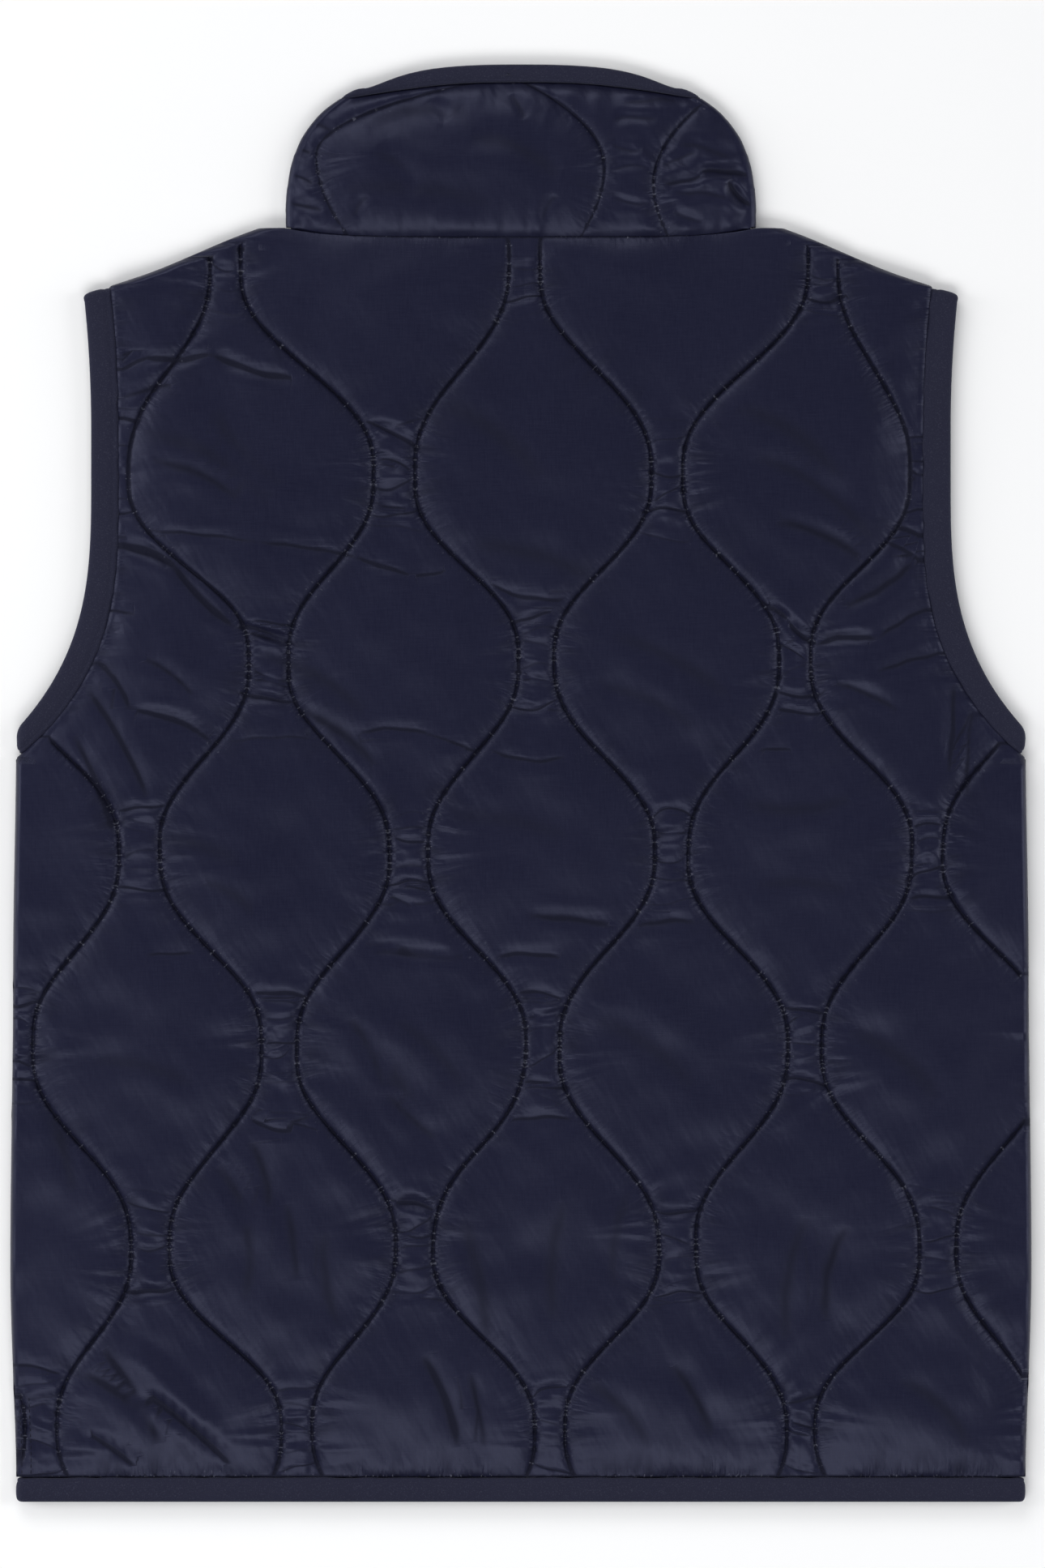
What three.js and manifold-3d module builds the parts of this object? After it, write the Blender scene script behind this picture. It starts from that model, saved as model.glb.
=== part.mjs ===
// A child's quilted stand-collar vest, laid flat on its front with the back upwards.
// Millimetres: +X to the right of the back, +Y from the hem to the collar, +Z up,
// and the garment rests on z = 0. The back, the back half of the collar and the upper
// half of each binding lie on the fronts, the front half of the collar and the lower halves.

import * as THREE from 'three';
import Module from 'manifold-3d';
import { mergeVertices } from 'three/addons/utils/BufferGeometryUtils.js';

const wasm = await Module();
wasm.setup();

// Driving sizes of the cut and the stack
const GAP = 0.3;                 // between pieces that are sewn to each other
const LAYER_CLEARANCE = 0.25;    // from the plane between the layers up to the upper layer
const LOWER_CLEARANCE = 0.5;     // and down to the fronts, which lie slack under the back
const EDGE_LEVEL = 3.0;          // height of that plane at the garment's outline
const MIDDLE_LEVEL = 6.2;        // and well inside it
const LEVEL_REACH = 44;          // distance over which it rises
const STITCHED_WALL = 1.6;       // wall thickness where a quilting seam holds it
const FOLD_RADIUS = 2.75;        // wall thickness carried round a fold
const PUFF = { height: 5.0, fullCell: 85, roundness: 0.55, widthPower: 0.6 };
const SEAM_PINCH = 8;            // how far in from an edge seam the wadding is held down
const FOLD_ROLL = 8;             // how far in from a fold the wall is thicker

const HEM_Y = -284;
const HEM_BINDING_WIDTH = 9.8;
const HEM_SEAM_Y = HEM_Y + HEM_BINDING_WIDTH;
const CENTRE_FRONT_GAP = 6;      // from the centre line to each front's edge

// Half width at the side folds
const SIDE_ROWS = [
  { y: -284, half: 199.4 },
  { y: -190, half: 201.9 },
  { y: -75, half: 200.8 },
  { y: 21, half: 199.6 },
];

// Armhole edges: straight down from the shoulder, then swept out to the side fold
const ARMHOLE_OUTER = { straight: 169.9, top: 120, bottom: 21 };
const ARMHOLE_SEAM = { straight: 159.6, top: 115, bottom: 10 };
const ARMHOLE_SWEEP_POWER = 3.1;
const ARMHOLE_LEAN = { from: 140, over: 54, out: 3 };
const FRONT_ARMHOLE_SCOOP = 4;

const SHOULDER = { x: 170, y: 194, slope: 0.33 };

// Collar, flattened: the outline is a superellipse that stands on the neck seam
const COLLAR = { half: 93.2, base: 216, height: 68, acrossPower: 2.7, upPower: 3.1, capY: 274.6 };
const NECK_SEAM_RISE = 3.4;
const NECK_SEAM_POWER = 6;
const BACK_COLLAR_TOP = { middle: 277, fold: 270.5, power: 2.6 };
const FRONT_NECK = { middle: 160, fold: 219.4, power: 2.5 };
const FRONT_COLLAR_TOP = { middle: 222, fold: 270.5, power: 2.5 };
const FRONT_COLLAR_EDGE = { middle: 229, fold: 274.6, power: 2.5 };

// Ogee quilting: at each row the seams stand in pairs, close together where two
// cells pass and far apart across a cell, and the next row is half a cell over.
// middle: the sheet's own centre there, pitch: cell to cell, swing: how far each
// seam leaves its mean place, squeeze: how much closer the outer cells are.
const QUILT_ROWS = [
  { y: 281, middle: 1, pitch: 112, swing: 20, squeeze: -1.5 },
  { y: 206, middle: 1.4, pitch: 118.2, swing: 23.7, squeeze: 0 },
  { y: 121, middle: 5.1, pitch: 107.7, swing: 19.8, squeeze: -3.7 },
  { y: 48.5, middle: 6.1, pitch: 103.9, swing: 19.1, squeeze: -1.6 },
  { y: -27.4, middle: 8, pitch: 103.7, swing: 18.8, squeeze: -1.3 },
  { y: -104.2, middle: 8.6, pitch: 103.7, swing: 19.2, squeeze: -0.2 },
  { y: -183.5, middle: 10, pitch: 103.7, swing: 18.5, squeeze: -0.3 },
  { y: -255.5, middle: 11.6, pitch: 99.5, swing: 18.9, squeeze: -0.5 },
  { y: -331, middle: 12, pitch: 100, swing: 18.9, squeeze: 0 },
];
const FIRST_SEAM = -3;
const LAST_SEAM = 7;

// Quilting seams on the back of the collar: each is widest at its own height and
// bends away from there, above it more than below it (bends are per mm squared)
const COLLAR_SEAMS = [
  { x: -80.7, y: 248, bendAbove: 0.074, bendBelow: 0.0125 },
  { x: 32.9, y: 243, bendAbove: -0.0275, bendBelow: -0.013 },
  { x: 52.4, y: 236, bendAbove: 0.0185, bendBelow: 0.015 },
];

// Small functions on numbers
const clamp = (v, low = 0, high = 1) => Math.min(high, Math.max(low, v));
const mix = (a, b, t) => a + (b - a) * t;
const smooth = (t) => t * t * (3 - 2 * t);
const smoother = (t) => t * t * t * (10 + t * (6 * t - 15));

// A value from a table whose rows are ordered by y, eased from row to row
function tableValue(rows, y, column, ease = smooth) {
  const ordered = rows[0].y < rows[rows.length - 1].y ? rows : [...rows].reverse();
  const next = clamp(ordered.findIndex((row) => row.y > y), 1, ordered.length - 1);
  const upper = y >= ordered[ordered.length - 1].y ? ordered.length - 1 : next;
  const [a, b] = [ordered[upper - 1], ordered[upper]];
  return mix(a[column], b[column], ease(clamp((y - a.y) / (b.y - a.y))));
}

// The garment's outline
const sideHalf = (y) => tableValue(SIDE_ROWS, y, 'half');

function armholeHalf(y, edge, scoop = 0) {
  const sweep = clamp((edge.top - y) / (edge.top - edge.bottom)) ** ARMHOLE_SWEEP_POWER;
  const lean = (Math.max(0, y - ARMHOLE_LEAN.from) / ARMHOLE_LEAN.over) ** 2 * ARMHOLE_LEAN.out;
  const hollow = scoop * Math.sin(Math.PI * clamp((y - edge.bottom) / (SHOULDER.y - edge.bottom)));
  return edge.straight + (sideHalf(edge.bottom) - edge.straight) * sweep + lean - hollow;
}

const shoulderHalf = (y) => SHOULDER.x - (y - SHOULDER.y) / SHOULDER.slope;

function panelHalf(y, scoop = 0) {
  if (y < ARMHOLE_SEAM.bottom) return sideHalf(y);
  return Math.min(armholeHalf(y, ARMHOLE_SEAM, scoop) - GAP / 2, shoulderHalf(y));
}

const neckSeam = (x) =>
  COLLAR.base + NECK_SEAM_RISE * (Math.abs(x) / COLLAR.half) ** NECK_SEAM_POWER;

function collarHalf(y) {
  const up = clamp((Math.min(y, COLLAR.capY) - COLLAR.base) / COLLAR.height);
  return COLLAR.half * (1 - up ** COLLAR.upPower) ** (1 / COLLAR.acrossPower);
}

function collarTopOutline(x) {
  const across = clamp(Math.abs(x) / COLLAR.half);
  return COLLAR.base + COLLAR.height * (1 - across ** COLLAR.acrossPower) ** (1 / COLLAR.upPower);
}

const arch = (curve, across) => mix(curve.middle, curve.fold, Math.abs(across) ** curve.power);

// Evenly spaced numbers from a to b, both included
const steps = (a, b, count) => Array.from({ length: count + 1 }, (_, i) => mix(a, b, i / count));

// Folds of one half of the garment, and its whole outline, as points (x, y)
const SHOULDER_TIP_Y = 193;
const sideFold = steps(HEM_Y, ARMHOLE_OUTER.bottom, 12).map((y) => [sideHalf(y), y]);
const shoulderFold = [
  [armholeHalf(SHOULDER_TIP_Y, ARMHOLE_OUTER), SHOULDER_TIP_Y],
  [COLLAR.half, neckSeam(COLLAR.half)],
];
const armholeLine = steps(ARMHOLE_OUTER.bottom, SHOULDER_TIP_Y, 18)
  .map((y) => [armholeHalf(y, ARMHOLE_OUTER), y]);
const collarFold = steps(neckSeam(COLLAR.half), COLLAR.capY, 10).map((y) => [collarHalf(y), y]);
const collarTop = steps(collarHalf(COLLAR.capY), 0, 8).map((x) => [x, collarTopOutline(x)]);
const outline = [[0, HEM_Y], ...sideFold, ...armholeLine, ...shoulderFold, ...collarFold, ...collarTop];

// Distance from a point to a line of points, on either half of the garment
function distanceTo(line, x, y) {
  let nearest = Infinity;
  for (let i = 1; i < line.length; i++) {
    const [ax, ay] = line[i - 1];
    const [dx, dy] = [line[i][0] - ax, line[i][1] - ay];
    const along = clamp(((Math.abs(x) - ax) * dx + (y - ay) * dy) / (dx * dx + dy * dy || 1));
    nearest = Math.min(nearest, Math.hypot(Math.abs(x) - ax - along * dx, y - ay - along * dy));
  }
  return nearest;
}

const foldDistance = (x, y) => Math.min(distanceTo(sideFold, x, y), distanceTo(shoulderFold, x, y));

// Height of the plane between the lower and the upper layer
function layerLevel(x, y) {
  const inside = clamp(distanceTo(outline, x, y) / LEVEL_REACH);
  return mix(EDGE_LEVEL, MIDDLE_LEVEL, smooth(inside));
}

// A closed wall between two grids of points, grid[column][row]. With loop, the last
// column joins the first.
function wall(outer, inner, loop = false) {
  const columns = outer.length;
  const rows = outer[0].length;
  const points = [...outer.flat(), ...inner.flat()];
  const index = [];
  const id = (side, i, j) => side * columns * rows + (i % columns) * rows + j;
  const quad = (a, b, c, d) => index.push(a, b, c, a, c, d);
  const spans = loop ? columns : columns - 1;
  for (let i = 0; i < spans; i++) {
    for (let j = 0; j < rows - 1; j++) {
      quad(id(0, i, j), id(0, i + 1, j), id(0, i + 1, j + 1), id(0, i, j + 1));
      quad(id(1, i, j), id(1, i, j + 1), id(1, i + 1, j + 1), id(1, i + 1, j));
    }
    const last = rows - 1;
    quad(id(0, i, 0), id(1, i, 0), id(1, i + 1, 0), id(0, i + 1, 0));
    quad(id(0, i, last), id(0, i + 1, last), id(1, i + 1, last), id(1, i, last));
  }
  if (!loop) {
    const last = columns - 1;
    for (let j = 0; j < rows - 1; j++) {
      quad(id(0, 0, j), id(0, 0, j + 1), id(1, 0, j + 1), id(1, 0, j));
      quad(id(0, last, j), id(1, last, j), id(1, last, j + 1), id(0, last, j + 1));
    }
  }
  const geometry = new THREE.BufferGeometry();
  geometry.setAttribute('position', new THREE.Float32BufferAttribute(points.flat(), 3));
  geometry.setIndex(enclosedVolume(points, index) < 0 ? index.reverse() : index);
  return geometry;
}

function enclosedVolume(points, index) {
  let volume = 0;
  for (let i = 0; i < index.length; i += 3) {
    const [a, b, c] = [points[index[i]], points[index[i + 1]], points[index[i + 2]]];
    volume += a[0] * (b[1] * c[2] - b[2] * c[1])
      - a[1] * (b[0] * c[2] - b[2] * c[0])
      + a[2] * (b[0] * c[1] - b[1] * c[0]);
  }
  return volume;
}

// Booleans
function toSolid(geometry) {
  const plain = geometry.clone();
  plain.deleteAttribute('normal');
  plain.deleteAttribute('uv');
  const merged = mergeVertices(plain, 1e-5);
  return new wasm.Manifold(new wasm.Mesh({
    numProp: 3,
    vertProperties: new Float32Array(merged.attributes.position.array),
    triVerts: new Uint32Array(merged.index.array),
  }));
}

function toGeometry(solid) {
  const mesh = solid.getMesh();
  const geometry = new THREE.BufferGeometry();
  geometry.setAttribute('position', new THREE.BufferAttribute(new Float32Array(mesh.vertProperties), 3));
  geometry.setIndex(new THREE.BufferAttribute(new Uint32Array(mesh.triVerts), 1));
  return geometry;
}

function block(x0, x1, y0, y1, z0, z1) {
  return toSolid(new THREE.BoxGeometry(x1 - x0, y1 - y0, z1 - z0)
    .translate((x0 + x1) / 2, (y0 + y1) / 2, (z0 + z1) / 2));
}

function rodAcross(radius, halfLength, y, z, sides) {
  return toSolid(new THREE.CylinderGeometry(radius, radius, 2 * halfLength, sides)
    .rotateZ(Math.PI / 2).translate(0, y, z));
}

// Quilting
function quiltSeam(number, y) {
  const places = QUILT_ROWS.map((row, i) => {
    const cells = (number - 2.5) / 2;
    const side = (number + i) % 2 === 0 ? -1 : 1;
    const x = row.middle + cells * row.pitch + cells * cells * row.squeeze + side * row.swing;
    return { y: row.y, x };
  });
  return tableValue(places, y, 'x', smoother);
}

// What the wadding adds between two seams, across = 0 at one and 1 at the other
function puff(across, width) {
  const round = Math.max(0, 4 * across * (1 - across)) ** PUFF.roundness;
  return PUFF.height * round * clamp(width / PUFF.fullCell) ** PUFF.widthPower;
}

// Places across the strip between two seams, closer together beside the stitching
const ACROSS_STRIP = [0, 0.09, 0.28, 0.5, 0.72, 0.91];

// Back panel: the quilted top, cut to the panel's edges and to the round of its folds
const BACK_ROW_STEP = 10.8;
const SLAB_FLOOR = -6;
const SLAB_BEYOND = 8;           // the slab runs past the panel's edges and is cut to them
const CAP = { edge: 0.35, slope: 0.8, height: 9 };
const EDGE_OFFSETS = [0, 0.6, 1.5, 2.75, 6.5, 13, 21, 32, 44];
const SHOULDER_STRETCH = 2;      // columns stand further apart along the slope of the shoulder

function seamFade(x, y) {
  const toEdge = Math.min(y - HEM_SEAM_Y, neckSeam(x) - y, panelHalf(y) - Math.abs(x));
  return 1 - Math.exp(-Math.max(0, toEdge) / SEAM_PINCH);
}

function quiltedSlab() {
  const slabTop = COLLAR.base + SLAB_BEYOND;
  const rows = steps(HEM_Y, slabTop, Math.round((slabTop - HEM_Y) / BACK_ROW_STEP));
  const top = [];
  for (let seam = FIRST_SEAM; seam < LAST_SEAM; seam++) {
    const places = seam === LAST_SEAM - 1 ? [...ACROSS_STRIP, 1] : ACROSS_STRIP;
    for (const across of places) {
      top.push(rows.map((y) => {
        const [left, right] = [quiltSeam(seam, y), quiltSeam(seam + 1, y)];
        const x = mix(left, right, across);
        const filled = STITCHED_WALL + puff(across, right - left) * seamFade(x, y);
        const rolled = Math.exp(-foldDistance(x, y) / FOLD_ROLL);
        return [x, y, layerLevel(x, y) + LAYER_CLEARANCE + filled + rolled];
      }));
    }
  }
  const bottom = top.map((column) => column.map(([x, y]) => [x, y, SLAB_FLOOR]));
  return wall(top, bottom);
}

// Rounds an edge that is folded: 0 at the edge, the full wall a radius inside it
function foldRound(distance) {
  const inside = clamp(distance / FOLD_RADIUS);
  return FOLD_RADIUS * Math.sqrt(Math.max(0, 1 - (1 - inside) ** 2));
}

// Rows of a panel, denser at the hem, the sweep of the armhole and the shoulder
const PANEL_ROWS = [
  HEM_SEAM_Y + GAP / 2, -268, -258, -244, -225, -190, -150, -110, -75, -40, -10,
  ARMHOLE_SEAM.bottom, 16, 24, 33, 43, 54, 68, 85, 105, 130, 150,
];
const SHOULDER_CORNER_Y = 196.3;
const BACK_TOP_ROWS = [
  { y: 170, rise: 0 }, { y: 185, rise: 0 }, { y: SHOULDER_CORNER_Y, rise: 0 },
  { y: 201, rise: 0 }, { y: 206, rise: 0.8 }, { y: 210.5, rise: 1.8 },
  { y: 213.7, rise: 2.7 }, { y: COLLAR.base - GAP / 2, rise: NECK_SEAM_RISE },
];

function backPanel() {
  const rows = [...PANEL_ROWS.map((y) => ({ y, rise: 0 })), ...BACK_TOP_ROWS];
  const inward = [...EDGE_OFFSETS, 80, 140];
  const columns = [
    ...inward.map((offset) => ({ side: -1, offset })),
    { side: 0, offset: 0 },
    ...[...inward].reverse().map((offset) => ({ side: 1, offset })),
  ];
  const grid = (height) => columns.map(({ side, offset }) => rows.map(({ y, rise }) => {
    const half = panelHalf(y + rise);
    const slope = y > SHOULDER.y && offset <= EDGE_OFFSETS[EDGE_OFFSETS.length - 1];
    const room = half / sideHalf(HEM_Y);
    const x = side * (half - offset * Math.min(1, room) * (slope ? SHOULDER_STRETCH : 1));
    const place = y + rise * Math.abs(x / half) ** NECK_SEAM_POWER;
    return [x, place, height(x, place)];
  }));
  const underside = grid((x, y) => layerLevel(x, y) + LAYER_CLEARANCE);
  const cap = grid((x, y) => {
    const fromFold = foldDistance(x, y);
    const rise = CAP.edge + foldRound(fromFold) + Math.max(0, fromFold - FOLD_RADIUS) * CAP.slope;
    return layerLevel(x, y) + LAYER_CLEARANCE + Math.min(CAP.height, rise);
  });
  return toGeometry(toSolid(quiltedSlab()).intersect(toSolid(wall(cap, underside))));
}

// Zip: the level of its tapes, lower at the hem where the layers are thinner
const ZIP = {
  tapeBottom: HEM_SEAM_Y + 0.6, tapeTop: 221.6, tapeWide: 15, tapeEdge: 2.9, tapeThick: 0.8,
  chainHalf: 2.6, chainThick: 1.5, chainBottom: -271.5, chainTop: 214.2, chainBite: 0.6,
  hemLevel: 1.75, level: 3.9, boxLong: 6, boxLow: 0.4, boxHigh: 1.0,
};
const zipLevel = (y) => mix(ZIP.hemLevel, ZIP.level, smooth(clamp((y - HEM_Y) / LEVEL_REACH)));

// Top of a lower wall: it thins beside the zip to let the tape lie on it
function lowerTop(x, y) {
  const full = layerLevel(x, y) - LOWER_CLEARANCE;
  const underTape = zipLevel(y) - GAP;
  const away = clamp((Math.abs(x) - ZIP.tapeWide - 4) / 12);
  return Math.min(full, mix(underTape, Math.max(full, underTape), smooth(away)));
}

// One front, from its side fold (column 0) to the centre front
const FRONT_NECK_ROWS = [FRONT_NECK.middle - 0.25, 161.2, 163.5, 167, 172, 179, 188, 196.3, 203, 210, 215.5];

function frontPanel(side) {
  const rows = [...PANEL_ROWS, ...FRONT_NECK_ROWS];
  const fromZip = [30, 21, 13, 0];
  const point = (offset, y) => {
    const outer = panelHalf(y, FRONT_ARMHOLE_SCOOP);
    const neck = clamp((y + 0.25 - FRONT_NECK.middle) / (FRONT_NECK.fold - FRONT_NECK.middle));
    const inner = Math.max(CENTRE_FRONT_GAP, COLLAR.half * neck ** (1 / FRONT_NECK.power));
    const room = outer - inner;
    const stretch = y > SHOULDER.y ? SHOULDER_STRETCH : 1;
    const scale = Math.min(1, room / (stretch * 90));
    const edge = EDGE_OFFSETS[EDGE_OFFSETS.length - 1] * stretch;
    if (offset.zip !== undefined) return inner + offset.zip * scale;
    if (offset.between !== undefined) {
      return mix(outer - edge * scale, inner + fromZip[0] * scale, offset.between);
    }
    return outer - offset.edge * stretch * scale;
  };
  const columns = [
    ...EDGE_OFFSETS.map((edge) => ({ edge })),
    { between: 0.5 },
    ...fromZip.map((zip) => ({ zip })),
  ];
  const grid = (height) => columns.map((column) => rows.map((y) => {
    const x = side * point(column, y);
    return [x, y, height(x, y)];
  }));
  const inside = grid(lowerTop);
  const underside = grid((x, y) => Math.max(0, FOLD_RADIUS - CAP.edge - foldRound(foldDistance(x, y))));
  return wall(inside, underside);
}

// Where a piece runs round a fold: columns that swing from the lower to the upper side
const FOLD_ANGLES = [-60, -30, 0, 30, 60].map((degrees) => degrees * Math.PI / 180);

// Collar: one wall from the centre front, round the left fold, across the back, round
// the right fold and back to the centre front. A column is a function of height.
const COLLAR_INSET = FOLD_RADIUS + LAYER_CLEARANCE;
const collarSeamAt = (seam, y) => {
  const bend = y > seam.y ? seam.bendAbove : seam.bendBelow;
  return seam.x + bend * (y - seam.y) ** 2;
};

function collarColumns() {
  const columns = [];
  const lowerShares = [0, 0.12, 0.26, 0.5, 0.75, 0.92, 1];
  const seams = [null, ...COLLAR_SEAMS, null];
  for (const share of lowerShares) columns.push({ kind: 'lower', side: -1, share });
  for (const angle of FOLD_ANGLES) columns.push({ kind: 'fold', side: -1, angle });
  for (let strip = 0; strip < seams.length - 1; strip++) {
    const places = strip === 0 ? [0, 0.5] : ACROSS_STRIP;
    for (const across of places) columns.push({ kind: 'upper', strip, across });
  }
  columns.push({ kind: 'upper', strip: seams.length - 2, across: 1 });
  for (const angle of [...FOLD_ANGLES].reverse()) columns.push({ kind: 'fold', side: 1, angle });
  for (const share of [...lowerShares].reverse()) columns.push({ kind: 'lower', side: 1, share });
  return columns;
}

// The seams either side of a strip of the collar's back, at a height
function collarStrip(strip, y) {
  const fold = collarHalf(y) - COLLAR_INSET;
  const places = COLLAR_SEAMS.map((seam) => clamp(collarSeamAt(seam, y), -fold + 1.5, fold - 1.5));
  const all = [-fold, ...places, fold];
  return [all[strip], all[strip + 1]];
}

// A point of the collar in plan. Up is 0 at the neck seam and 1 at the binding's seam,
// or, on the binding, 0 at that seam and 1 at its outer edge.
function collarPlan(column, up, onBinding) {
  const lower = column.kind === 'lower';
  const seamTop = lower ? FRONT_COLLAR_TOP : BACK_COLLAR_TOP;
  let [x, y] = [0, COLLAR.base];
  for (let pass = 0; pass < 12; pass++) {
    const fold = collarHalf(y) - COLLAR_INSET;
    if (lower) x = column.side * mix(CENTRE_FRONT_GAP, fold, column.share);
    else if (column.kind === 'fold') x = column.side * fold;
    else {
      const [left, right] = collarStrip(column.strip, y);
      x = mix(left, right, column.across);
    }
    const across = clamp(Math.abs(x) / fold);
    const seamX = column.kind === 'fold' ? COLLAR.half : Math.abs(x);
    const base = lower ? arch(FRONT_NECK, seamX / COLLAR.half) + GAP : neckSeam(seamX) + GAP / 2;
    const top = arch(seamTop, across);
    const edge = lower ? arch(FRONT_COLLAR_EDGE, across) : mix(collarTopOutline(x), COLLAR.capY, across ** 8);
    const seamGap = lower ? GAP * (1 + across ** 4) : GAP;
    const target = onBinding ? mix(top + seamGap, edge, up) : mix(base, top, up);
    y = mix(y, target, 0.7);
  }
  return [x, y];
}

// The outer and the inner point of a wall in a column of the collar, or of its binding
function collarPoint(column, up, thickness, onBinding) {
  const [x, y] = collarPlan(column, up, onBinding);
  const level = layerLevel(column.kind === 'fold' ? column.side * collarHalf(y) : x, y);
  if (column.kind === 'lower') {
    return { outer: [x, y, Math.max(0, FOLD_RADIUS - thickness)], inner: [x, y, lowerTop(x, y)] };
  }
  if (column.kind === 'upper') {
    const inner = level + LAYER_CLEARANCE;
    return { outer: [x, y, inner + thickness], inner: [x, y, inner] };
  }
  const [out, rise] = [Math.cos(column.angle), Math.sin(column.angle)];
  const reach = LAYER_CLEARANCE + thickness;
  return {
    outer: [x + column.side * out * reach, y, level + rise * reach],
    inner: [x + column.side * out * LAYER_CLEARANCE, y, level + rise * LAYER_CLEARANCE],
  };
}

const COLLAR_UP = [0, 0.05, 0.18, 0.36, 0.54, 0.72, 0.88, 0.96, 1];

function collarThickness(column, up) {
  if (column.kind !== 'upper') return FOLD_RADIUS;
  const [x, y] = collarPlan(column, up, false);
  const fromFold = Math.max(0, collarHalf(y) - COLLAR_INSET - Math.abs(x));
  const base = mix(STITCHED_WALL, FOLD_RADIUS, Math.exp(-fromFold / 7));
  const [left, right] = collarStrip(column.strip, y);
  const ends = 1 - (2 * Math.abs(up - 0.5)) ** 5;
  return base + puff(column.across, right - left) * ends;
}

function collar() {
  const points = collarColumns().map((column) =>
    COLLAR_UP.map((up) => collarPoint(column, up, collarThickness(column, up), false)));
  return wall(points.map((c) => c.map((p) => p.outer)), points.map((c) => c.map((p) => p.inner)));
}

// A binding's rounded section: place across its width, and share of its thickness
const BINDING_SECTION = [
  { across: 0, full: 0.7 }, { across: 0.15, full: 1 }, { across: 0.8, full: 1 }, { across: 1, full: 0.55 },
];

function collarBinding() {
  const points = collarColumns().map((column) => BINDING_SECTION.map(({ across, full }) =>
    collarPoint(column, across, FOLD_RADIUS * full, true)));
  return wall(points.map((c) => c.map((p) => p.outer)), points.map((c) => c.map((p) => p.inner)));
}

// Hem binding, from the centre front round both side folds and across the back
function hemBinding() {
  const columns = [];
  const shares = [0, 0.2, 0.5, 0.8, 1];
  for (const share of shares) columns.push({ layer: -1, side: -1, share });
  for (const angle of FOLD_ANGLES) columns.push({ layer: 0, side: -1, angle });
  for (const across of steps(-1, 1, 12)) columns.push({ layer: 1, across });
  for (const angle of [...FOLD_ANGLES].reverse()) columns.push({ layer: 0, side: 1, angle });
  for (const share of [...shares].reverse()) columns.push({ layer: -1, side: 1, share });
  const points = columns.map((column) => BINDING_SECTION.map(({ across, full }) => {
    const y = mix(HEM_SEAM_Y - GAP / 2, HEM_Y, across);
    const reach = FOLD_RADIUS * full;
    const fold = sideHalf(y) - FOLD_RADIUS - LAYER_CLEARANCE;
    if (column.layer === 0) {
      const level = layerLevel(sideHalf(y), y);
      const [out, rise] = [Math.cos(column.angle), Math.sin(column.angle)];
      const far = LAYER_CLEARANCE + reach;
      return {
        outer: [column.side * (fold + out * far), y, level + rise * far],
        inner: [column.side * (fold + out * LAYER_CLEARANCE), y, level + rise * LAYER_CLEARANCE],
      };
    }
    const x = column.layer < 0
      ? column.side * mix(CENTRE_FRONT_GAP, fold, column.share)
      : column.across * fold;
    const inner = layerLevel(x, y) + column.layer * LAYER_CLEARANCE;
    const outer = column.layer < 0 ? FOLD_RADIUS - reach : inner + reach;
    return { outer: [x, y, outer], inner: [x, y, inner] };
  }));
  return wall(points.map((c) => c.map((p) => p.outer)), points.map((c) => c.map((p) => p.inner)));
}

// Armhole binding: a closed loop, down the front, round the side fold, up the back
// and round the shoulder fold. Its two edges each have their own stretch of height.
const BINDING_OUTER_RUN = { shoulder: 190.2, underarm: 24.6 };
const BINDING_SEAM_RUN = { shoulder: 193.4, underarm: 13.2 };
const UNDERARM_TURN = { outer: [3.1, -3.4], seam: [3.0, -2.6] };
const SHOULDER_TURN = [0.9, 2.85];

function armholeBinding(side) {
  const along = [0, 0.06, 0.18, 0.32, 0.45, 0.56, 0.65, 0.73, 0.8, 0.86, 0.92, 0.97, 1];
  const columns = [];
  for (const t of along) columns.push({ layer: -1, t });
  for (const angle of FOLD_ANGLES) columns.push({ layer: 0, t: 1, angle });
  for (const t of [...along].reverse()) columns.push({ layer: 1, t });
  for (const angle of [...FOLD_ANGLES].reverse()) columns.push({ layer: 0, t: 0, angle });
  const points = columns.map((column) => BINDING_SECTION.map(({ across, full }) => {
    const scoop = column.layer < 0 ? FRONT_ARMHOLE_SCOOP : 0;
    const seamY = mix(BINDING_SEAM_RUN.shoulder, BINDING_SEAM_RUN.underarm, column.t);
    const outerY = mix(BINDING_OUTER_RUN.shoulder, BINDING_OUTER_RUN.underarm, column.t);
    const seamX = armholeHalf(seamY, ARMHOLE_SEAM, scoop) + (column.layer < 0 ? GAP : GAP / 2);
    const outerX = armholeHalf(outerY, ARMHOLE_OUTER, scoop);
    const [x, y] = [mix(seamX, outerX, across), mix(seamY, outerY, across)];
    const reach = FOLD_RADIUS * full;
    if (column.layer === 0) {
      const turn = column.t === 0 ? SHOULDER_TURN
        : [0, 1].map((k) => mix(UNDERARM_TURN.seam[k], UNDERARM_TURN.outer[k], across));
      const [out, rise] = [Math.cos(column.angle), Math.sin(column.angle)];
      const place = (far) => [
        side * (x + turn[0] * out * far / 3), y + turn[1] * out * far / 3,
        layerLevel(x, y) + rise * far,
      ];
      return { outer: place(LAYER_CLEARANCE + reach), inner: place(LAYER_CLEARANCE) };
    }
    const inner = layerLevel(x, y) + column.layer * LAYER_CLEARANCE;
    const outer = column.layer < 0 ? FOLD_RADIUS - reach : inner + reach;
    return { outer: [side * x, y, outer], inner: [side * x, y, inner] };
  }));
  return wall(points.map((c) => c.map((p) => p.outer)), points.map((c) => c.map((p) => p.inner)), true);
}

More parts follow.
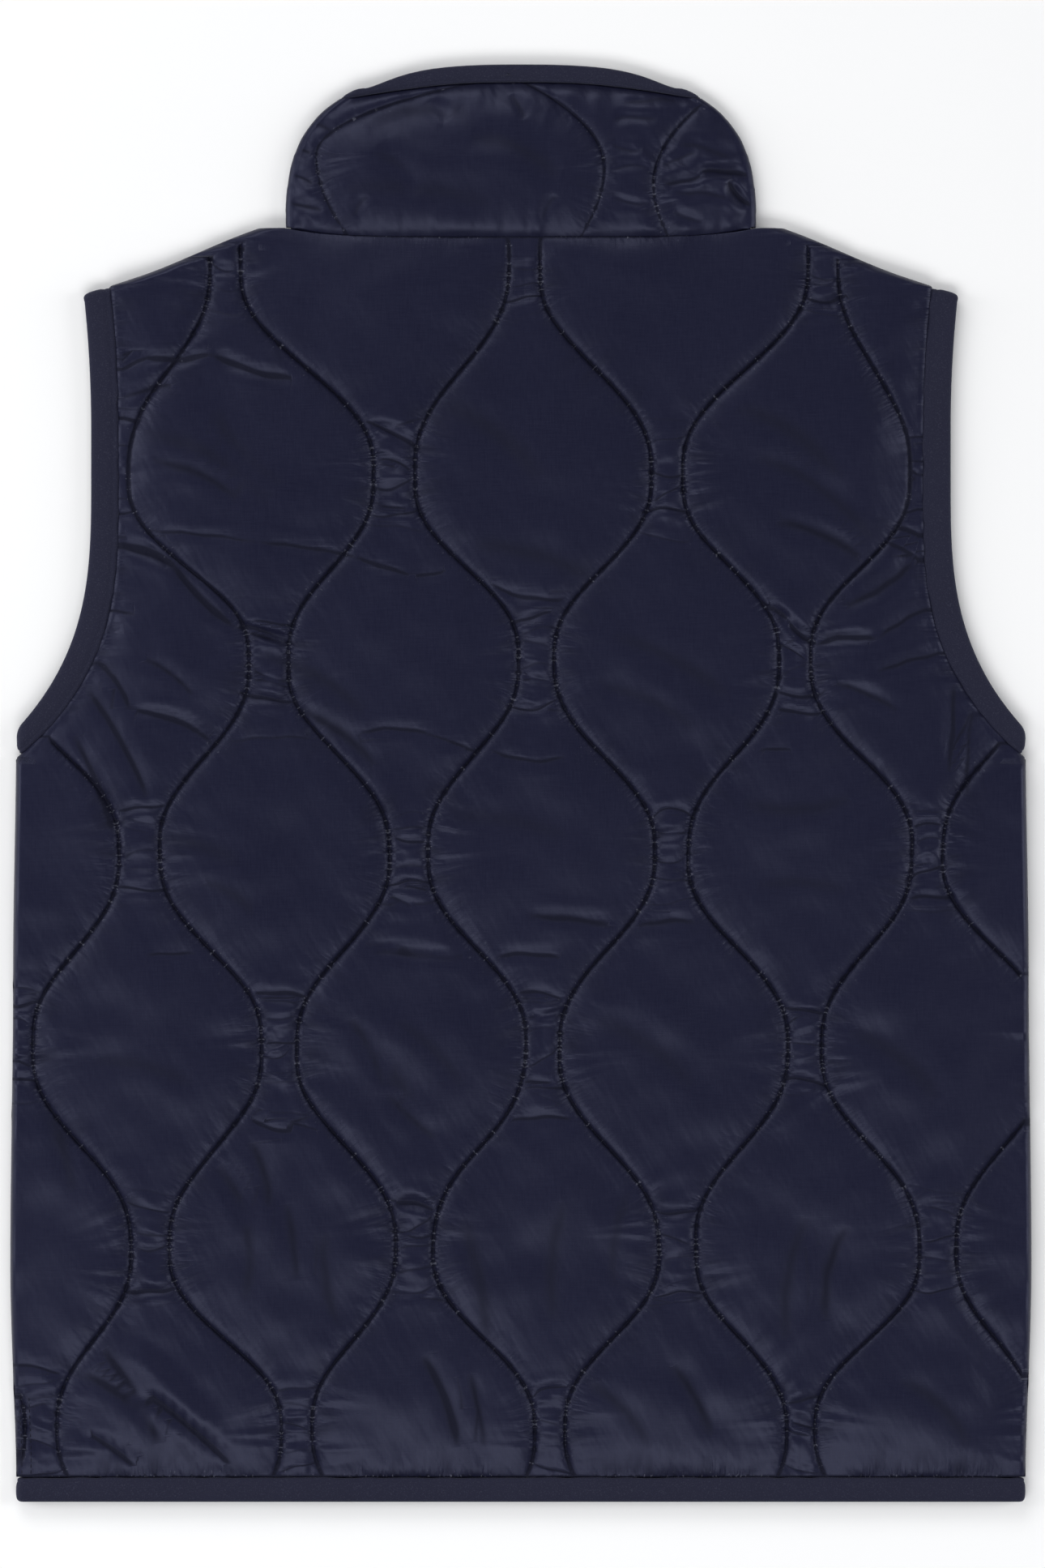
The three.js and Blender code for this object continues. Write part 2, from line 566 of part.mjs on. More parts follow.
// Zip tape with its half of the chain along its edge
function zipTape(side) {
  const rows = [ZIP.tapeBottom, -262, -250, -240, -228, 0, ZIP.tapeTop];
  const strip = (x0, x1, from, to, low, high) => {
    const inRows = rows.filter((y) => y > from && y < to);
    const ys = [from, ...inRows, to];
    const grid = (lift) => [x0, x1].map((x) => ys.map((y) => [side * x, y, zipLevel(y) + lift]));
    return toSolid(wall(grid(high), grid(low)));
  };
  const tape = strip(ZIP.tapeEdge - ZIP.chainBite, ZIP.tapeWide, ZIP.tapeBottom, ZIP.tapeTop, 0, ZIP.tapeThick);
  const middle = ZIP.tapeThick / 2;
  const chain = strip(GAP / 2, ZIP.chainHalf, ZIP.chainBottom, ZIP.chainTop,
    middle - ZIP.chainThick / 2, middle + ZIP.chainThick / 2);
  return toGeometry(tape.add(chain));
}

function zipBox() {
  const [y1, level] = [ZIP.chainBottom - GAP, zipLevel(ZIP.chainBottom)];
  const half = ZIP.tapeEdge - ZIP.chainBite - GAP;
  return toGeometry(block(-half, half, y1 - ZIP.boxLong, y1, level - ZIP.boxLow, level + ZIP.boxHigh));
}

// Slider, closed at the top of the zip, with lugs and a pin for its pull tab
const SLIDER = {
  half: 4.2, from: 208.5, to: 217.5, outerPlate: [2.55, 3.2], innerPlate: [5.35, 6.0],
  postHalf: 1.5, postTo: 217.2, lugX: 2.35, lugHalf: 0.4, lugReach: 1, lugBottom: 0.4, bite: 0.15,
};
const PULL = {
  axisY: 211, axisZ: 1.3, pin: 0.3, bore: 0.6, eye: 0.95, eyeHalf: 1.6,
  long: 22, wide: 6.8, thick: 1.1, neckLong: 4.2, shoulderAt: 7,
};

function zipSlider() {
  const { half, from, to, outerPlate, innerPlate, postHalf, bite } = SLIDER;
  const plate = (levels) => block(-half, half, from, to, ...levels);
  const post = block(-postHalf, postHalf, ZIP.chainTop + GAP, SLIDER.postTo,
    outerPlate[1] - bite, innerPlate[0] + bite);
  const lug = (x) => block(x - SLIDER.lugHalf, x + SLIDER.lugHalf,
    PULL.axisY - SLIDER.lugReach, PULL.axisY + SLIDER.lugReach, SLIDER.lugBottom, outerPlate[0] + bite);
  const pin = rodAcross(PULL.pin, SLIDER.lugX, PULL.axisY, PULL.axisZ, 12);
  return toGeometry(plate(outerPlate).add(plate(innerPlate)).add(post)
    .add(lug(-SLIDER.lugX)).add(lug(SLIDER.lugX)).add(pin));
}

// Pull tab: an eye on the pin and a rounded tab that lies towards the hem
function zipPull() {
  const shape = new THREE.Shape();
  const [half, neck, tip] = [PULL.wide / 2, PULL.eyeHalf, -PULL.long];
  shape.moveTo(-neck, 0);
  shape.lineTo(-neck, -PULL.neckLong);
  shape.lineTo(-half, -PULL.shoulderAt);
  shape.lineTo(-half, tip + half);
  shape.absarc(0, tip + half, half, Math.PI, 2 * Math.PI);
  shape.lineTo(half, -PULL.shoulderAt);
  shape.lineTo(neck, -PULL.neckLong);
  shape.lineTo(neck, 0);
  const flat = { depth: PULL.thick, bevelEnabled: false, curveSegments: 6 };
  const tab = toSolid(new THREE.ExtrudeGeometry(shape, flat)
    .translate(0, PULL.axisY, PULL.axisZ - PULL.thick / 2));
  const eye = rodAcross(PULL.eye, PULL.eyeHalf, PULL.axisY, PULL.axisZ, 16);
  const bore = rodAcross(PULL.bore, PULL.eyeHalf + 1, PULL.axisY, PULL.axisZ, 16);
  return toGeometry(tab.add(eye).subtract(bore));
}

// Materials
const quiltedCloth = { color: 0x252638, roughness: 0.38, metalness: 0 };
const bindingTape = { color: 0x28293b, roughness: 0.9, metalness: 0 };
const zipCloth = { color: 0x20212f, roughness: 0.85, metalness: 0 };
const darkMetal = { color: 0x2b2c33, roughness: 0.35, metalness: 0.8 };

const vest = new THREE.Group();
function piece(name, geometry, finish) {
  geometry.computeVertexNormals();
  const mesh = new THREE.Mesh(geometry, new THREE.MeshStandardMaterial({ ...finish, flatShading: true }));
  mesh.name = name;
  vest.add(mesh);
}

piece('back_panel', backPanel(), quiltedCloth);
piece('front_left', frontPanel(-1), quiltedCloth);
piece('front_right', frontPanel(1), quiltedCloth);
piece('collar', collar(), quiltedCloth);
piece('collar_binding', collarBinding(), bindingTape);
piece('armhole_binding_left', armholeBinding(-1), bindingTape);
piece('armhole_binding_right', armholeBinding(1), bindingTape);
piece('hem_binding', hemBinding(), bindingTape);
piece('zip_tape_left', zipTape(-1), zipCloth);
piece('zip_tape_right', zipTape(1), zipCloth);
piece('zip_box', zipBox(), darkMetal);
piece('zip_slider', zipSlider(), darkMetal);
piece('zip_pull', zipPull(), darkMetal);

export default vest;
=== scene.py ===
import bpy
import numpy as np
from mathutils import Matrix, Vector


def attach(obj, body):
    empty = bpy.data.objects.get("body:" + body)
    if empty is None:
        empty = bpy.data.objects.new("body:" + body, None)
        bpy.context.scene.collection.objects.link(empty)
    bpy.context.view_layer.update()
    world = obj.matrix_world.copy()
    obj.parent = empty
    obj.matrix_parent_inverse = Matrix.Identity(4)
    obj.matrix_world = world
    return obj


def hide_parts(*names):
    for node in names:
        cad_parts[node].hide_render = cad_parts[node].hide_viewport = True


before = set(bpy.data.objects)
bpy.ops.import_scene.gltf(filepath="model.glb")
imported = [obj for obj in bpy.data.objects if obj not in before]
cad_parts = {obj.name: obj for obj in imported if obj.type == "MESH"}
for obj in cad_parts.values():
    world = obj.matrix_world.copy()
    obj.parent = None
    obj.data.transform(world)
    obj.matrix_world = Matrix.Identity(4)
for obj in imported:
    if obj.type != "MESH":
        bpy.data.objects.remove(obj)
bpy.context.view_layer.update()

# A child's quilted stand-collar vest, laid flat on its front with the back upwards.
# Shapes are worked out in millimetres, +X to the right of the back, +Y from hem to
# collar and +Z up, and are put into meshes in metres at the end.

MM = 0.001

# Driving sizes of the cut and the stack, the same as the solids'
SEAM_GAP = 0.3
LAYER_GAP = 0.25
EDGE_LEVEL, MIDDLE_LEVEL, LEVEL_REACH = 3.0, 6.2, 44.0
WALL = 2.75
HEM_Y, HEM_SEAM_Y = -284.0, -274.2
CENTRE_FRONT = 6.0
SHOULDER_X, SHOULDER_Y, SHOULDER_SLOPE, SHOULDER_TIP_Y = 170.0, 194.0, 0.33, 193.0
ARMHOLE_OUTER = {"straight": 169.9, "top": 120.0, "bottom": 21.0}
ARMHOLE_SEAM = {"straight": 159.6, "top": 115.0, "bottom": 10.0}
FRONT_SCOOP = 4.0
SHOULDER_END_Y = 197.0   # above it, a panel's side is the shoulder
SHOULDER_LONG = 79.5     # across, from the neck's corner to the shoulder's tip
FAR_OFF = 99.0
COLLAR_HALF, COLLAR_BASE, COLLAR_HEIGHT, COLLAR_CAP_Y = 93.2, 216.0, 68.0, 274.6
ACROSS_POWER, UP_POWER = 2.7, 3.1
COLLAR_INSET = WALL + LAYER_GAP
COLLAR_TALL = 58.0       # from the neck seam to the binding's seam
BACK_TOP = {"middle": 277.0, "fold": 270.5, "power": 2.6}
FRONT_NECK = {"middle": 160.0, "fold": 219.4, "power": 2.5}
FRONT_TOP = {"middle": 222.0, "fold": 270.5, "power": 2.5}
FRONT_EDGE = {"middle": 229.0, "fold": 274.6, "power": 2.5}

# Half width at the side folds, by height
SIDE_ROWS = np.array([(-284, 199.4), (-190, 201.9), (-75, 200.8), (21, 199.6)], float)

# Quilting rows: height, middle, pitch, swing and squeeze of the seams there
QUILT_ROWS = np.array([
    (-331, 12, 100, 18.9, 0),
    (-255.5, 11.6, 99.5, 18.9, -0.5),
    (-183.5, 10, 103.7, 18.5, -0.3),
    (-104.2, 8.6, 103.7, 19.2, -0.2),
    (-27.4, 8, 103.7, 18.8, -1.3),
    (48.5, 6.1, 103.9, 19.1, -1.6),
    (121, 5.1, 107.7, 19.8, -3.7),
    (206, 1.4, 118.2, 23.7, 0),
    (281, 1, 112, 20, -1.5),
], float)
FIRST_SEAM, LAST_SEAM = -3, 7

# Seams on the back of the collar: x and y where each is widest, bends above and below
COLLAR_SEAMS = np.array([
    (-80.7, 248, 0.074, 0.0125),
    (32.9, 243, -0.0275, -0.013),
    (52.4, 236, 0.0185, 0.015),
], float)

# Relief of the quilted cloth
NO_SEAM = 40.0           # the distance where no seam is nearer
SEAM_REACH, FOOT_REACH = 45, 32      # how far a seam is looked for, across and along it
SEAM_APART = 700         # sets the places along one seam off from the next seam's
STITCHED = 1.2           # wall thickness at the stitches
LEAST_WALL = 0.4
STEEP_PUFF, STEEP_RUN = 1.5, 1.7     # the wadding's rise beside a seam, and its reach
ROUND_PUFF, ROUND_RUN = 3.0, 10.0    # and the slow crown of the whole cell
SEAM_PINCH = 6.0         # how far an edge seam holds the wadding down
STITCH_PITCH = 2.4
STITCH_LONG, STITCH_WIDE = 1.7, 0.34


# Numbers
def ease(t):
    """From 0 to 1 with level ends: 3 t^2 - 2 t^3."""
    return t * t * (3 - 2 * t)


def ease_more(t):
    """From 0 to 1 with straighter level ends: 6 t^5 - 15 t^4 + 10 t^3."""
    return t ** 3 * (10 + t * (6 * t - 15))


def unit(t):
    return np.clip(t, 0, 1)


def spots(x, y, z):
    """Points from their three coordinates, each given for all points or for some."""
    return np.stack(np.broadcast_arrays(x, y, z), axis=-1)


def of_side(kind, lower, fold, upper):
    """The points of the lower side where kind is -1, of the fold where 0, and of the upper side."""
    kind = kind[..., None]
    return np.where(kind < 0, lower, np.where(kind == 0, fold, upper))


def by_rows(heights, values, y, easing=ease):
    """Between the two rows around y, the value moves from one row's to the next with easing."""
    row = np.clip(np.searchsorted(heights, y, side="right"), 1, len(heights) - 1)
    share = easing(unit((y - heights[row - 1]) / (heights[row] - heights[row - 1])))
    return values[row - 1] + (values[row] - values[row - 1]) * share


def uneven(t, seed, spacing):
    """Smooth uneven waves between -1 and 1: random heights at knots one spacing apart, eased
    from knot to knot."""
    knots = np.random.default_rng(seed).uniform(-1, 1, 1024)
    place = np.asarray(t) / spacing + 300
    knot = np.floor(place).astype(int) % 1023
    share = ease(place - np.floor(place))
    return knots[knot] * (1 - share) + knots[knot + 1] * share


# Outline of the garment
def side_half(y):
    """Half the width at the side fold, eased between the rows."""
    return by_rows(SIDE_ROWS[:, 0], SIDE_ROWS[:, 1], y)


def armhole_half(y, edge, scoop=0.0):
    """Straight below the shoulder, swept out to the side fold with a power curve, and leaning
    out a little at the top; a front is scooped in by half a sine wave."""
    sweep = unit((edge["top"] - y) / (edge["top"] - edge["bottom"])) ** 3.1
    lean = 3 * (np.maximum(0, y - 140) / 54) ** 2
    hollow = scoop * np.sin(np.pi * unit((y - edge["bottom"]) / (SHOULDER_Y - edge["bottom"])))
    return edge["straight"] + (side_half(edge["bottom"]) - edge["straight"]) * sweep + lean - hollow


def armhole_distance(x, y, scoop=0.0):
    """How far inside the armhole's seam a point is, or far off beside the shoulder and below."""
    beside = (y > ARMHOLE_SEAM["bottom"]) & (y < SHOULDER_END_Y)
    return np.where(beside, armhole_half(y, ARMHOLE_SEAM, scoop) - np.abs(x), FAR_OFF)


def panel_half(y, scoop=0.0):
    """Half the width of a body panel: to the side fold, the armhole's seam or the sloping shoulder."""
    shoulder = SHOULDER_X - (y - SHOULDER_Y) / SHOULDER_SLOPE
    armhole = np.minimum(armhole_half(y, ARMHOLE_SEAM, scoop) - SEAM_GAP / 2, shoulder)
    return np.where(y < ARMHOLE_SEAM["bottom"], side_half(y), armhole)


def neck_seam(x):
    """Height of the collar's seam, turned up by a sixth power at its corners."""
    return COLLAR_BASE + 3.4 * (np.abs(x) / COLLAR_HALF) ** 6


def collar_half(y):
    """Superellipse on the neck seam, straight above the height of the binding's corners."""
    up = unit((np.minimum(y, COLLAR_CAP_Y) - COLLAR_BASE) / COLLAR_HEIGHT)
    return COLLAR_HALF * (1 - up ** UP_POWER) ** (1 / ACROSS_POWER)


def collar_top(x):
    """The same superellipse, as a height over x."""
    across = unit(np.abs(x) / COLLAR_HALF)
    return COLLAR_BASE + COLLAR_HEIGHT * (1 - across ** ACROSS_POWER) ** (1 / UP_POWER)


def arch(curve, across):
    """From the middle's height to the fold's by a power of the place across."""
    return curve["middle"] + (curve["fold"] - curve["middle"]) * np.abs(across) ** curve["power"]


def line_of(x, y):
    return np.column_stack(np.broadcast_arrays(np.asarray(x, float), np.asarray(y, float)))


side_ys = np.linspace(HEM_Y, ARMHOLE_OUTER["bottom"], 13)
armhole_ys = np.linspace(ARMHOLE_OUTER["bottom"], SHOULDER_TIP_Y, 19)
SIDE_FOLD = line_of(side_half(side_ys), side_ys)
SHOULDER_FOLD = line_of(
    [armhole_half(SHOULDER_TIP_Y, ARMHOLE_OUTER), COLLAR_HALF], [SHOULDER_TIP_Y, neck_seam(COLLAR_HALF)])
collar_ys = np.linspace(neck_seam(COLLAR_HALF), COLLAR_CAP_Y, 11)
collar_xs = np.linspace(collar_half(COLLAR_CAP_Y), 0, 9)
OUTLINE = np.vstack([
    line_of([0.0], [HEM_Y]), SIDE_FOLD, line_of(armhole_half(armhole_ys, ARMHOLE_OUTER), armhole_ys),
    SHOULDER_FOLD, line_of(collar_half(collar_ys), collar_ys), line_of(collar_xs, collar_top(collar_xs)),
])


def distance_to(line, x, y):
    """Least distance to the segments of a line, taken on either half of the garment."""
    start, run = line[:-1], np.diff(line, axis=0)
    squared = np.maximum((run ** 2).sum(1), 1e-9)
    nearest = np.full(np.shape(x), np.inf)
    for (ax, ay), (dx, dy), length in zip(start, run, squared):
        along = unit(((np.abs(x) - ax) * dx + (y - ay) * dy) / length)
        nearest = np.minimum(nearest, np.hypot(np.abs(x) - ax - along * dx, y - ay - along * dy))
    return nearest


def level(x, y):
    """Height of the plane between the lower and the upper layer."""
    return EDGE_LEVEL + (MIDDLE_LEVEL - EDGE_LEVEL) * ease(unit(distance_to(OUTLINE, x, y) / LEVEL_REACH))


def fold_distance(x, y):
    """Distance to the nearer of the side fold and the shoulder fold."""
    return np.minimum(distance_to(SIDE_FOLD, x, y), distance_to(SHOULDER_FOLD, x, y))


# Quilting seams
def quilt_seam(number):
    """A seam's x by height: its mean place in the row, moved to one side or the other by the
    row's swing, eased from row to row, with a needle's small wander."""
    row = np.arange(len(QUILT_ROWS))
    heights, middle, pitch, swing, squeeze = QUILT_ROWS.T
    cells = (number - 2.5) / 2
    side = np.where((number + len(QUILT_ROWS) - 1 - row) % 2 == 0, -1, 1)
    places = middle + cells * pitch + cells ** 2 * squeeze + side * swing

    def at(y):
        return by_rows(heights, places, y, ease_more) + 0.35 * uneven(y, 40 + number, 17)
    return at


def collar_seam(number):
    """A seam on the collar: two half parabolas that meet where it is widest."""
    x, height, above, below = COLLAR_SEAMS[number]

    def at(y):
        return x + np.where(y > height, above, below) * (y - height) ** 2
    return at


QUILT_SEAMS = [quilt_seam(number) for number in range(FIRST_SEAM, LAST_SEAM + 1)]
BACK_COLLAR_SEAMS = [collar_seam(number) for number in range(len(COLLAR_SEAMS))]


def relief(x, y, seams, seed):
    """Height of quilted cloth over its stitched wall, the puckers on it, and for the
    nearest seam the distance and the place along it. The wadding rises as
    1 - exp(-e / run), with 1 / e the sum of 1 / distance over all seams, steeply beside the
    stitches and then slowly. Beside each seam stand puckers square to it: uneven waves along
    the seam, sharp in their valleys, times (d / l) exp(1 - d / l) across it. They are
    gathered most where a seam runs straight up, and fade where two seams are as near."""
    crowd = np.zeros_like(x)
    along, gather, puckers = (np.zeros_like(x) for _ in range(3))
    nearest, second = np.full_like(x, NO_SEAM), np.full_like(x, NO_SEAM)
    for number, seam in enumerate(seams):
        slope = seam(y + 0.5) - seam(y - 0.5)
        apart = (x - seam(y)) / np.sqrt(1 + slope ** 2)
        crowd += 1 / (np.abs(apart) + 0.05)
        close = np.abs(apart) < SEAM_REACH
        cx, cy = x[close], y[close]
        foot = cy.copy()
        for _ in range(4):
            lean = seam(foot + 0.5) - seam(foot - 0.5)
            foot += ((cx - seam(foot)) * lean + cy - foot) / (1 + lean ** 2)
            foot = np.clip(foot, cy - FOOT_REACH, cy + FOOT_REACH)
        away = np.hypot(cx - seam(foot), cy - foot)
        side = np.sign(cx - seam(cy))
        nearer = away < nearest[close]
        second[close] = np.minimum(second[close], np.maximum(away, nearest[close]))
        place = np.flatnonzero(close.ravel())[nearer]
        nearest.flat[place] = away[nearer]
        along.flat[place] = foot[nearer] + SEAM_APART * number
        steep = np.abs(seam(foot + 0.5) - seam(foot - 0.5))
        gathered = 0.4 + 0.7 * np.exp(-(steep / 0.6) ** 2)
        gather.flat[place] = gathered[nearer]
        wave = np.zeros_like(cx)
        for turn in (-1, 1):
            chosen = side == turn
            f, d = foot[chosen], away[chosen]
            first = seed + 10 * number + 5 * (turn > 0)
            strength = gathered[chosen] * (0.75 + 0.55 * uneven(f, first + 1, 19))
            lean = uneven(f, first + 4, 30)
            middle = 0.4 - np.abs(uneven(f + 0.35 * lean * d, first + 2, 3.3))
            broad = 0.4 - np.abs(uneven(f + 0.5 * lean * d, first + 3, 6.5))
            wave[chosen] = strength * (0.6 * middle * bell(d, 2.6) + 1.5 * broad * bell(d, 4.6))
        puckers[close] += wave
    even = 1 / crowd
    puffed = STEEP_PUFF * (1 - np.exp(-even / STEEP_RUN)) + ROUND_PUFF * (1 - np.exp(-even / ROUND_RUN))
    groove = -0.6 * np.exp(-(nearest / 0.6) ** 2)
    return puffed, puckers + groove, nearest, (along, gather * unit((second - nearest - 4) / 8))


def bell(distance, length):
    """Nothing at a seam, most at one length from it, and fading beyond."""
    return distance / length * np.exp(1 - distance / length)


# Creases placed on the back: start, end, half width, depth (a ridge where it
# is negative) and bow, the sideways bulge of the middle
MESH_SOFT = 1.6
BACK_CREASES = np.array([
    (-160, 95, -136, 86, 2.2, 2.6, 1.5), (-137, 87, -113, 62, 1.8, 1.8, -1.5),
    (-112, 62, -91, 56, 1.3, 2.2, 1.2), (-148, 100, -104, 95.5, 1.2, 0.9, 0.6),
    (-104, 95.5, -62, 89, 1.3, 1.2, 0.8), (-65, 90, -43, 82.5, 1.4, 1.6, -0.6),
    (-43, 82.5, -29, 85, 1.2, 1.2, -1.2), (-67, 19, -32, 18, 1.3, 1.1, 3.4),
    (-34, 18.5, -17, 12, 1.2, 1.2, 0.8), (-117, 16.5, -80, 18, 1, 0.6, 1),
    (-12.5, 14, 18, 10.7, 1.2, 1.3, -3), (-12.5, 79, 18, 73, 1.3, 1.3, -2.4),
    (-148, -67.7, -128, -67, 1.1, 0.9, 0.5), (-63, -63, -23, -69, 1.2, 1.1, 1.2),
    (-110, 60, -91, 55, 1.3, 1.8, 0.8), (-106.6, 41, -91, 38, 0.9, 0.9, 0.6),
    (-105.6, -83, -84, -84.2, 1.2, 1.9, 1.2), (-100.7, -102.8, -88.4, -102.4, 0.8, 1.1, 0.5),
    (-107, -132, -89, -136.6, 1.3, 1.9, -1.6), (-94, -133.4, -79, -136.5, 0.9, 0.9, 0),
    (-49.7, -165, -34, -168.3, 1.2, 1.8, 1), (0.6, 41, 12.8, 40, 0.9, 1.1, 0.4),
    (-106, -140, -98.6, -168, 3.4, 0.7, 2), (-119.5, -150, -106, -177, 3.4, 0.6, 2),
    (-67, -92, -53, -121, 3, 0.7, 2), (-53, -121, -32, -140, 3, 0.6, -1), (-163, 69, -152, 67, 1.2, 0.9, 0),
    (-168, 49, -154, 29, 1.8, 1.3, 2), (-154, 29, -121, 16, 1.8, 1.5, 3), (-171, 38, -147, -6, 2.2, 1.2, 2),
    (-176, 20, -160, -20, 2.4, 0.9, 1), (-150, 50, -128, 34, 2, 0.8, 2),
    (-158, 169, -146, 170, 1.2, 1.6, 1), (-150, 169, -122, 170, 1.5, 2.4, -2),
    (-122, 170, -88, 160, 1.8, 1.9, -2), (-159, 163, -149, 168, 1.1, 1.9, 0),
    (-159, 145, -150, 143, 1.1, 2, 0), (-158, 152, -136, 158, 1.6, 0.8, 1),
    (-62, 143, -41, 133, 1.1, 1.8, 1), (-58, 147, -38, 139, 1.2, -0.7, 1), (-56, 110, -44, 108, 0.9, 1, 0),
    (-60, 128, -48, 124, 0.8, 0.7, 0), (154, 124, 161, 119, 1, 1.4, 0), (147, 102, 161, 95, 1.3, 1.6, 1),
    (144, 96, 162, 84, 1.3, 1.4, 1), (96, 70, 106, 64, 1.3, 1.8, 1), (106, 64, 117, 55, 1.2, 2.2, -1),
    (116, 55, 140, 57, 1.6, 1.6, 2), (140, 57, 164, 71, 1.5, 1, 1), (126, 70, 158, 92, 2.4, 0.9, -3),
    (140, 44, 169, 52, 1.4, 1, 1), (122, 40, 150, 28, 2, 0.7, 2), (101, 30, 119, 28, 1.1, 1.5, -1),
    (93, 13, 108, 13, 1.1, 0.9, 1), (170, 40, 168, 3, 1.8, 1.1, 1), (178, 30, 176, -6, 1.6, 0.8, -1),
    (-50, -21, -37, -23, 0.9, 1.3, -0.8), (-48, -40, -36, -42, 0.9, 0.9, 0),
    (-52, -44, -42, -49, 1, 0.9, 0), (-62, -64, -21, -68, 2.2, 1, -1), (2, -52, 38, -56, 2.2, 1, 1),
    (-10, -68, 17, -69, 1.4, 1.4, 1.5), (45, -56, 69, -54, 1.8, 1, 1), (52, -18, 66, -19, 0.9, 1.4, -1.5),
    (-1, -82, 17, -85, 1, 1.3, 1), (4, -92, 17, -90, 0.9, 0.9, 0), (1, -118, 13, -118, 0.9, 1.1, 0.5),
    (-5, -133, 21, -132, 1.2, 1.3, 1), (155, -17, 166, -16, 0.9, 1.3, 0.8),
    (153, -45, 172, -45, 1.2, 1.3, 0.6), (-150, -239, -114, -269, 1.7, 2.8, 1.2),
    (-154, -222, -122, -257, 3.4, -1.5, 2), (-171, -256, -152, -270, 1.4, 2, 0.8),
    (-165, -222, -142, -261, 3.4, 1.2, 2), (-172, -232, -140, -256, 3.2, 1, 2),
    (-160, -222, -132, -248, 3, -0.9, 2), (-200, -229, -181, -233, 1, 1.2, 0.5),
    (-38, -225, -24, -262, 3, 1.3, 2), (-20, -232, -14, -262, 2.4, 0.8, 1),
    (-76, -176, -70, -215, 4, 0.55, -3), (-112, -160, -108, -205, 4, 0.55, 4),
    (-92, -165, -88, -196, 3, 0.7, 1), (-22, -170, -12, -222, 5, 0.5, 2), (16, -164, 12, -214, 5, 0.5, -3),
    (42, -160, 36, -200, 4, 0.39, -3), (112, -170, 104, -222, 4.5, 0.55, -4),
    (128, -174, 120, -214, 3.6, 0.8, -4), (90, -170, 88, -200, 3, -0.7, 1), (28, -236, 52, -262, 4, 0.5, 3),
    (60, -228, 76, -258, 3.6, 0.8, 2), (150, -234, 178, -262, 4.4, 0.5, 4),
    (168, -226, 184, -250, 3, -0.7, 2), (-186, -130, -176, -162, 4, 0.44, 2),
    (-88, 30, -56, 6, 3.2, 0.7, 3), (-104, 52, -60, 28, 5, 0.44, 4), (-92, 118, -120, 150, 6, 0.44, 5),
    (-150, 140, -96, 112, 6, 0.39, 5), (-146, 128, -110, 112, 3, 0.7, 3), (-34, 152, 10, 120, 7, 0.39, 5),
    (-20, 96, 30, 82, 6, 0.44, 3), (84, 150, 128, 118, 6, 0.44, 6), (92, 130, 140, 96, 4, 0.44, 5),
    (100, 104, 136, 88, 3.2, 0.8, 3), (36, 60, 84, 34, 5, 0.39, 3), (30, 40, 70, 22, 4, 0.33, 3),
    (86, -6, 132, -4, 5, 0.44, -4), (92, -40, 130, -42, 4, 0.33, 3), (-150, -20, -110, -30, 6, 0.33, 3),
    (-126, -38, -104, -52, 4, 0.39, 3), (-30, -12, 20, -20, 6, 0.28, 3),
    (-170, -108, -128, -118, 5, 0.33, 3), (-66, -96, -40, -132, 5, 0.44, 3),
    (-50, -92, -22, -120, 4, 0.33, 3), (30, -92, 70, -120, 6, 0.33, 4), (130, -96, 166, -124, 6, 0.39, 4),
], float)

# Creases on the back of the collar, written the same way
COLLAR_CREASES = np.array([
    (56, 237, 72, 241, 1.4, 1.8, -1.5), (70, 241, 92, 239, 1.6, 2.6, 2), (82, 238, 92, 228, 1.8, 3, -1.5),
    (60, 233, 84, 231, 1.6, 1, 1), (56, 243, 70, 249, 1.2, 0.9, 1), (62, 252, 84, 246, 2, 0.9, 2),
    (60, 226, 72, 222, 1.4, 0.9, -1), (36, 262, 54, 262, 1.4, 0.9, 1), (36, 252, 48, 250, 1.2, 0.8, -1),
    (35, 242, 50, 243, 1, 0.8, 1), (36, 231, 51, 229, 1.2, 0.9, -1), (40, 268, 62, 270, 1.4, 0.9, 1),
    (-92, 240, -82, 237, 1.2, 1.4, 1), (-90, 252, -83, 249, 1.2, 1.2, 0), (-93, 229, -78, 226, 1.4, 1.4, 1),
    (-86, 262, -74, 257, 1.4, 1.1, 1), (-60, 262, -20, 266, 5, 0.7, 3), (-70, 236, -10, 230, 6, 0.6, 3),
    (-20, 256, 16, 240, 5, 0.7, 4), (-58, 250, -40, 232, 4, 0.6, 3), (-36, 270, -28, 262, 2, 0.8, 1),
    (-4, 272, 2, 262, 2, 0.8, 1), (-66, 224, -60, 232, 1.6, 0.7, 1), (8, 222, 14, 232, 1.6, 0.7, 1),
], float)


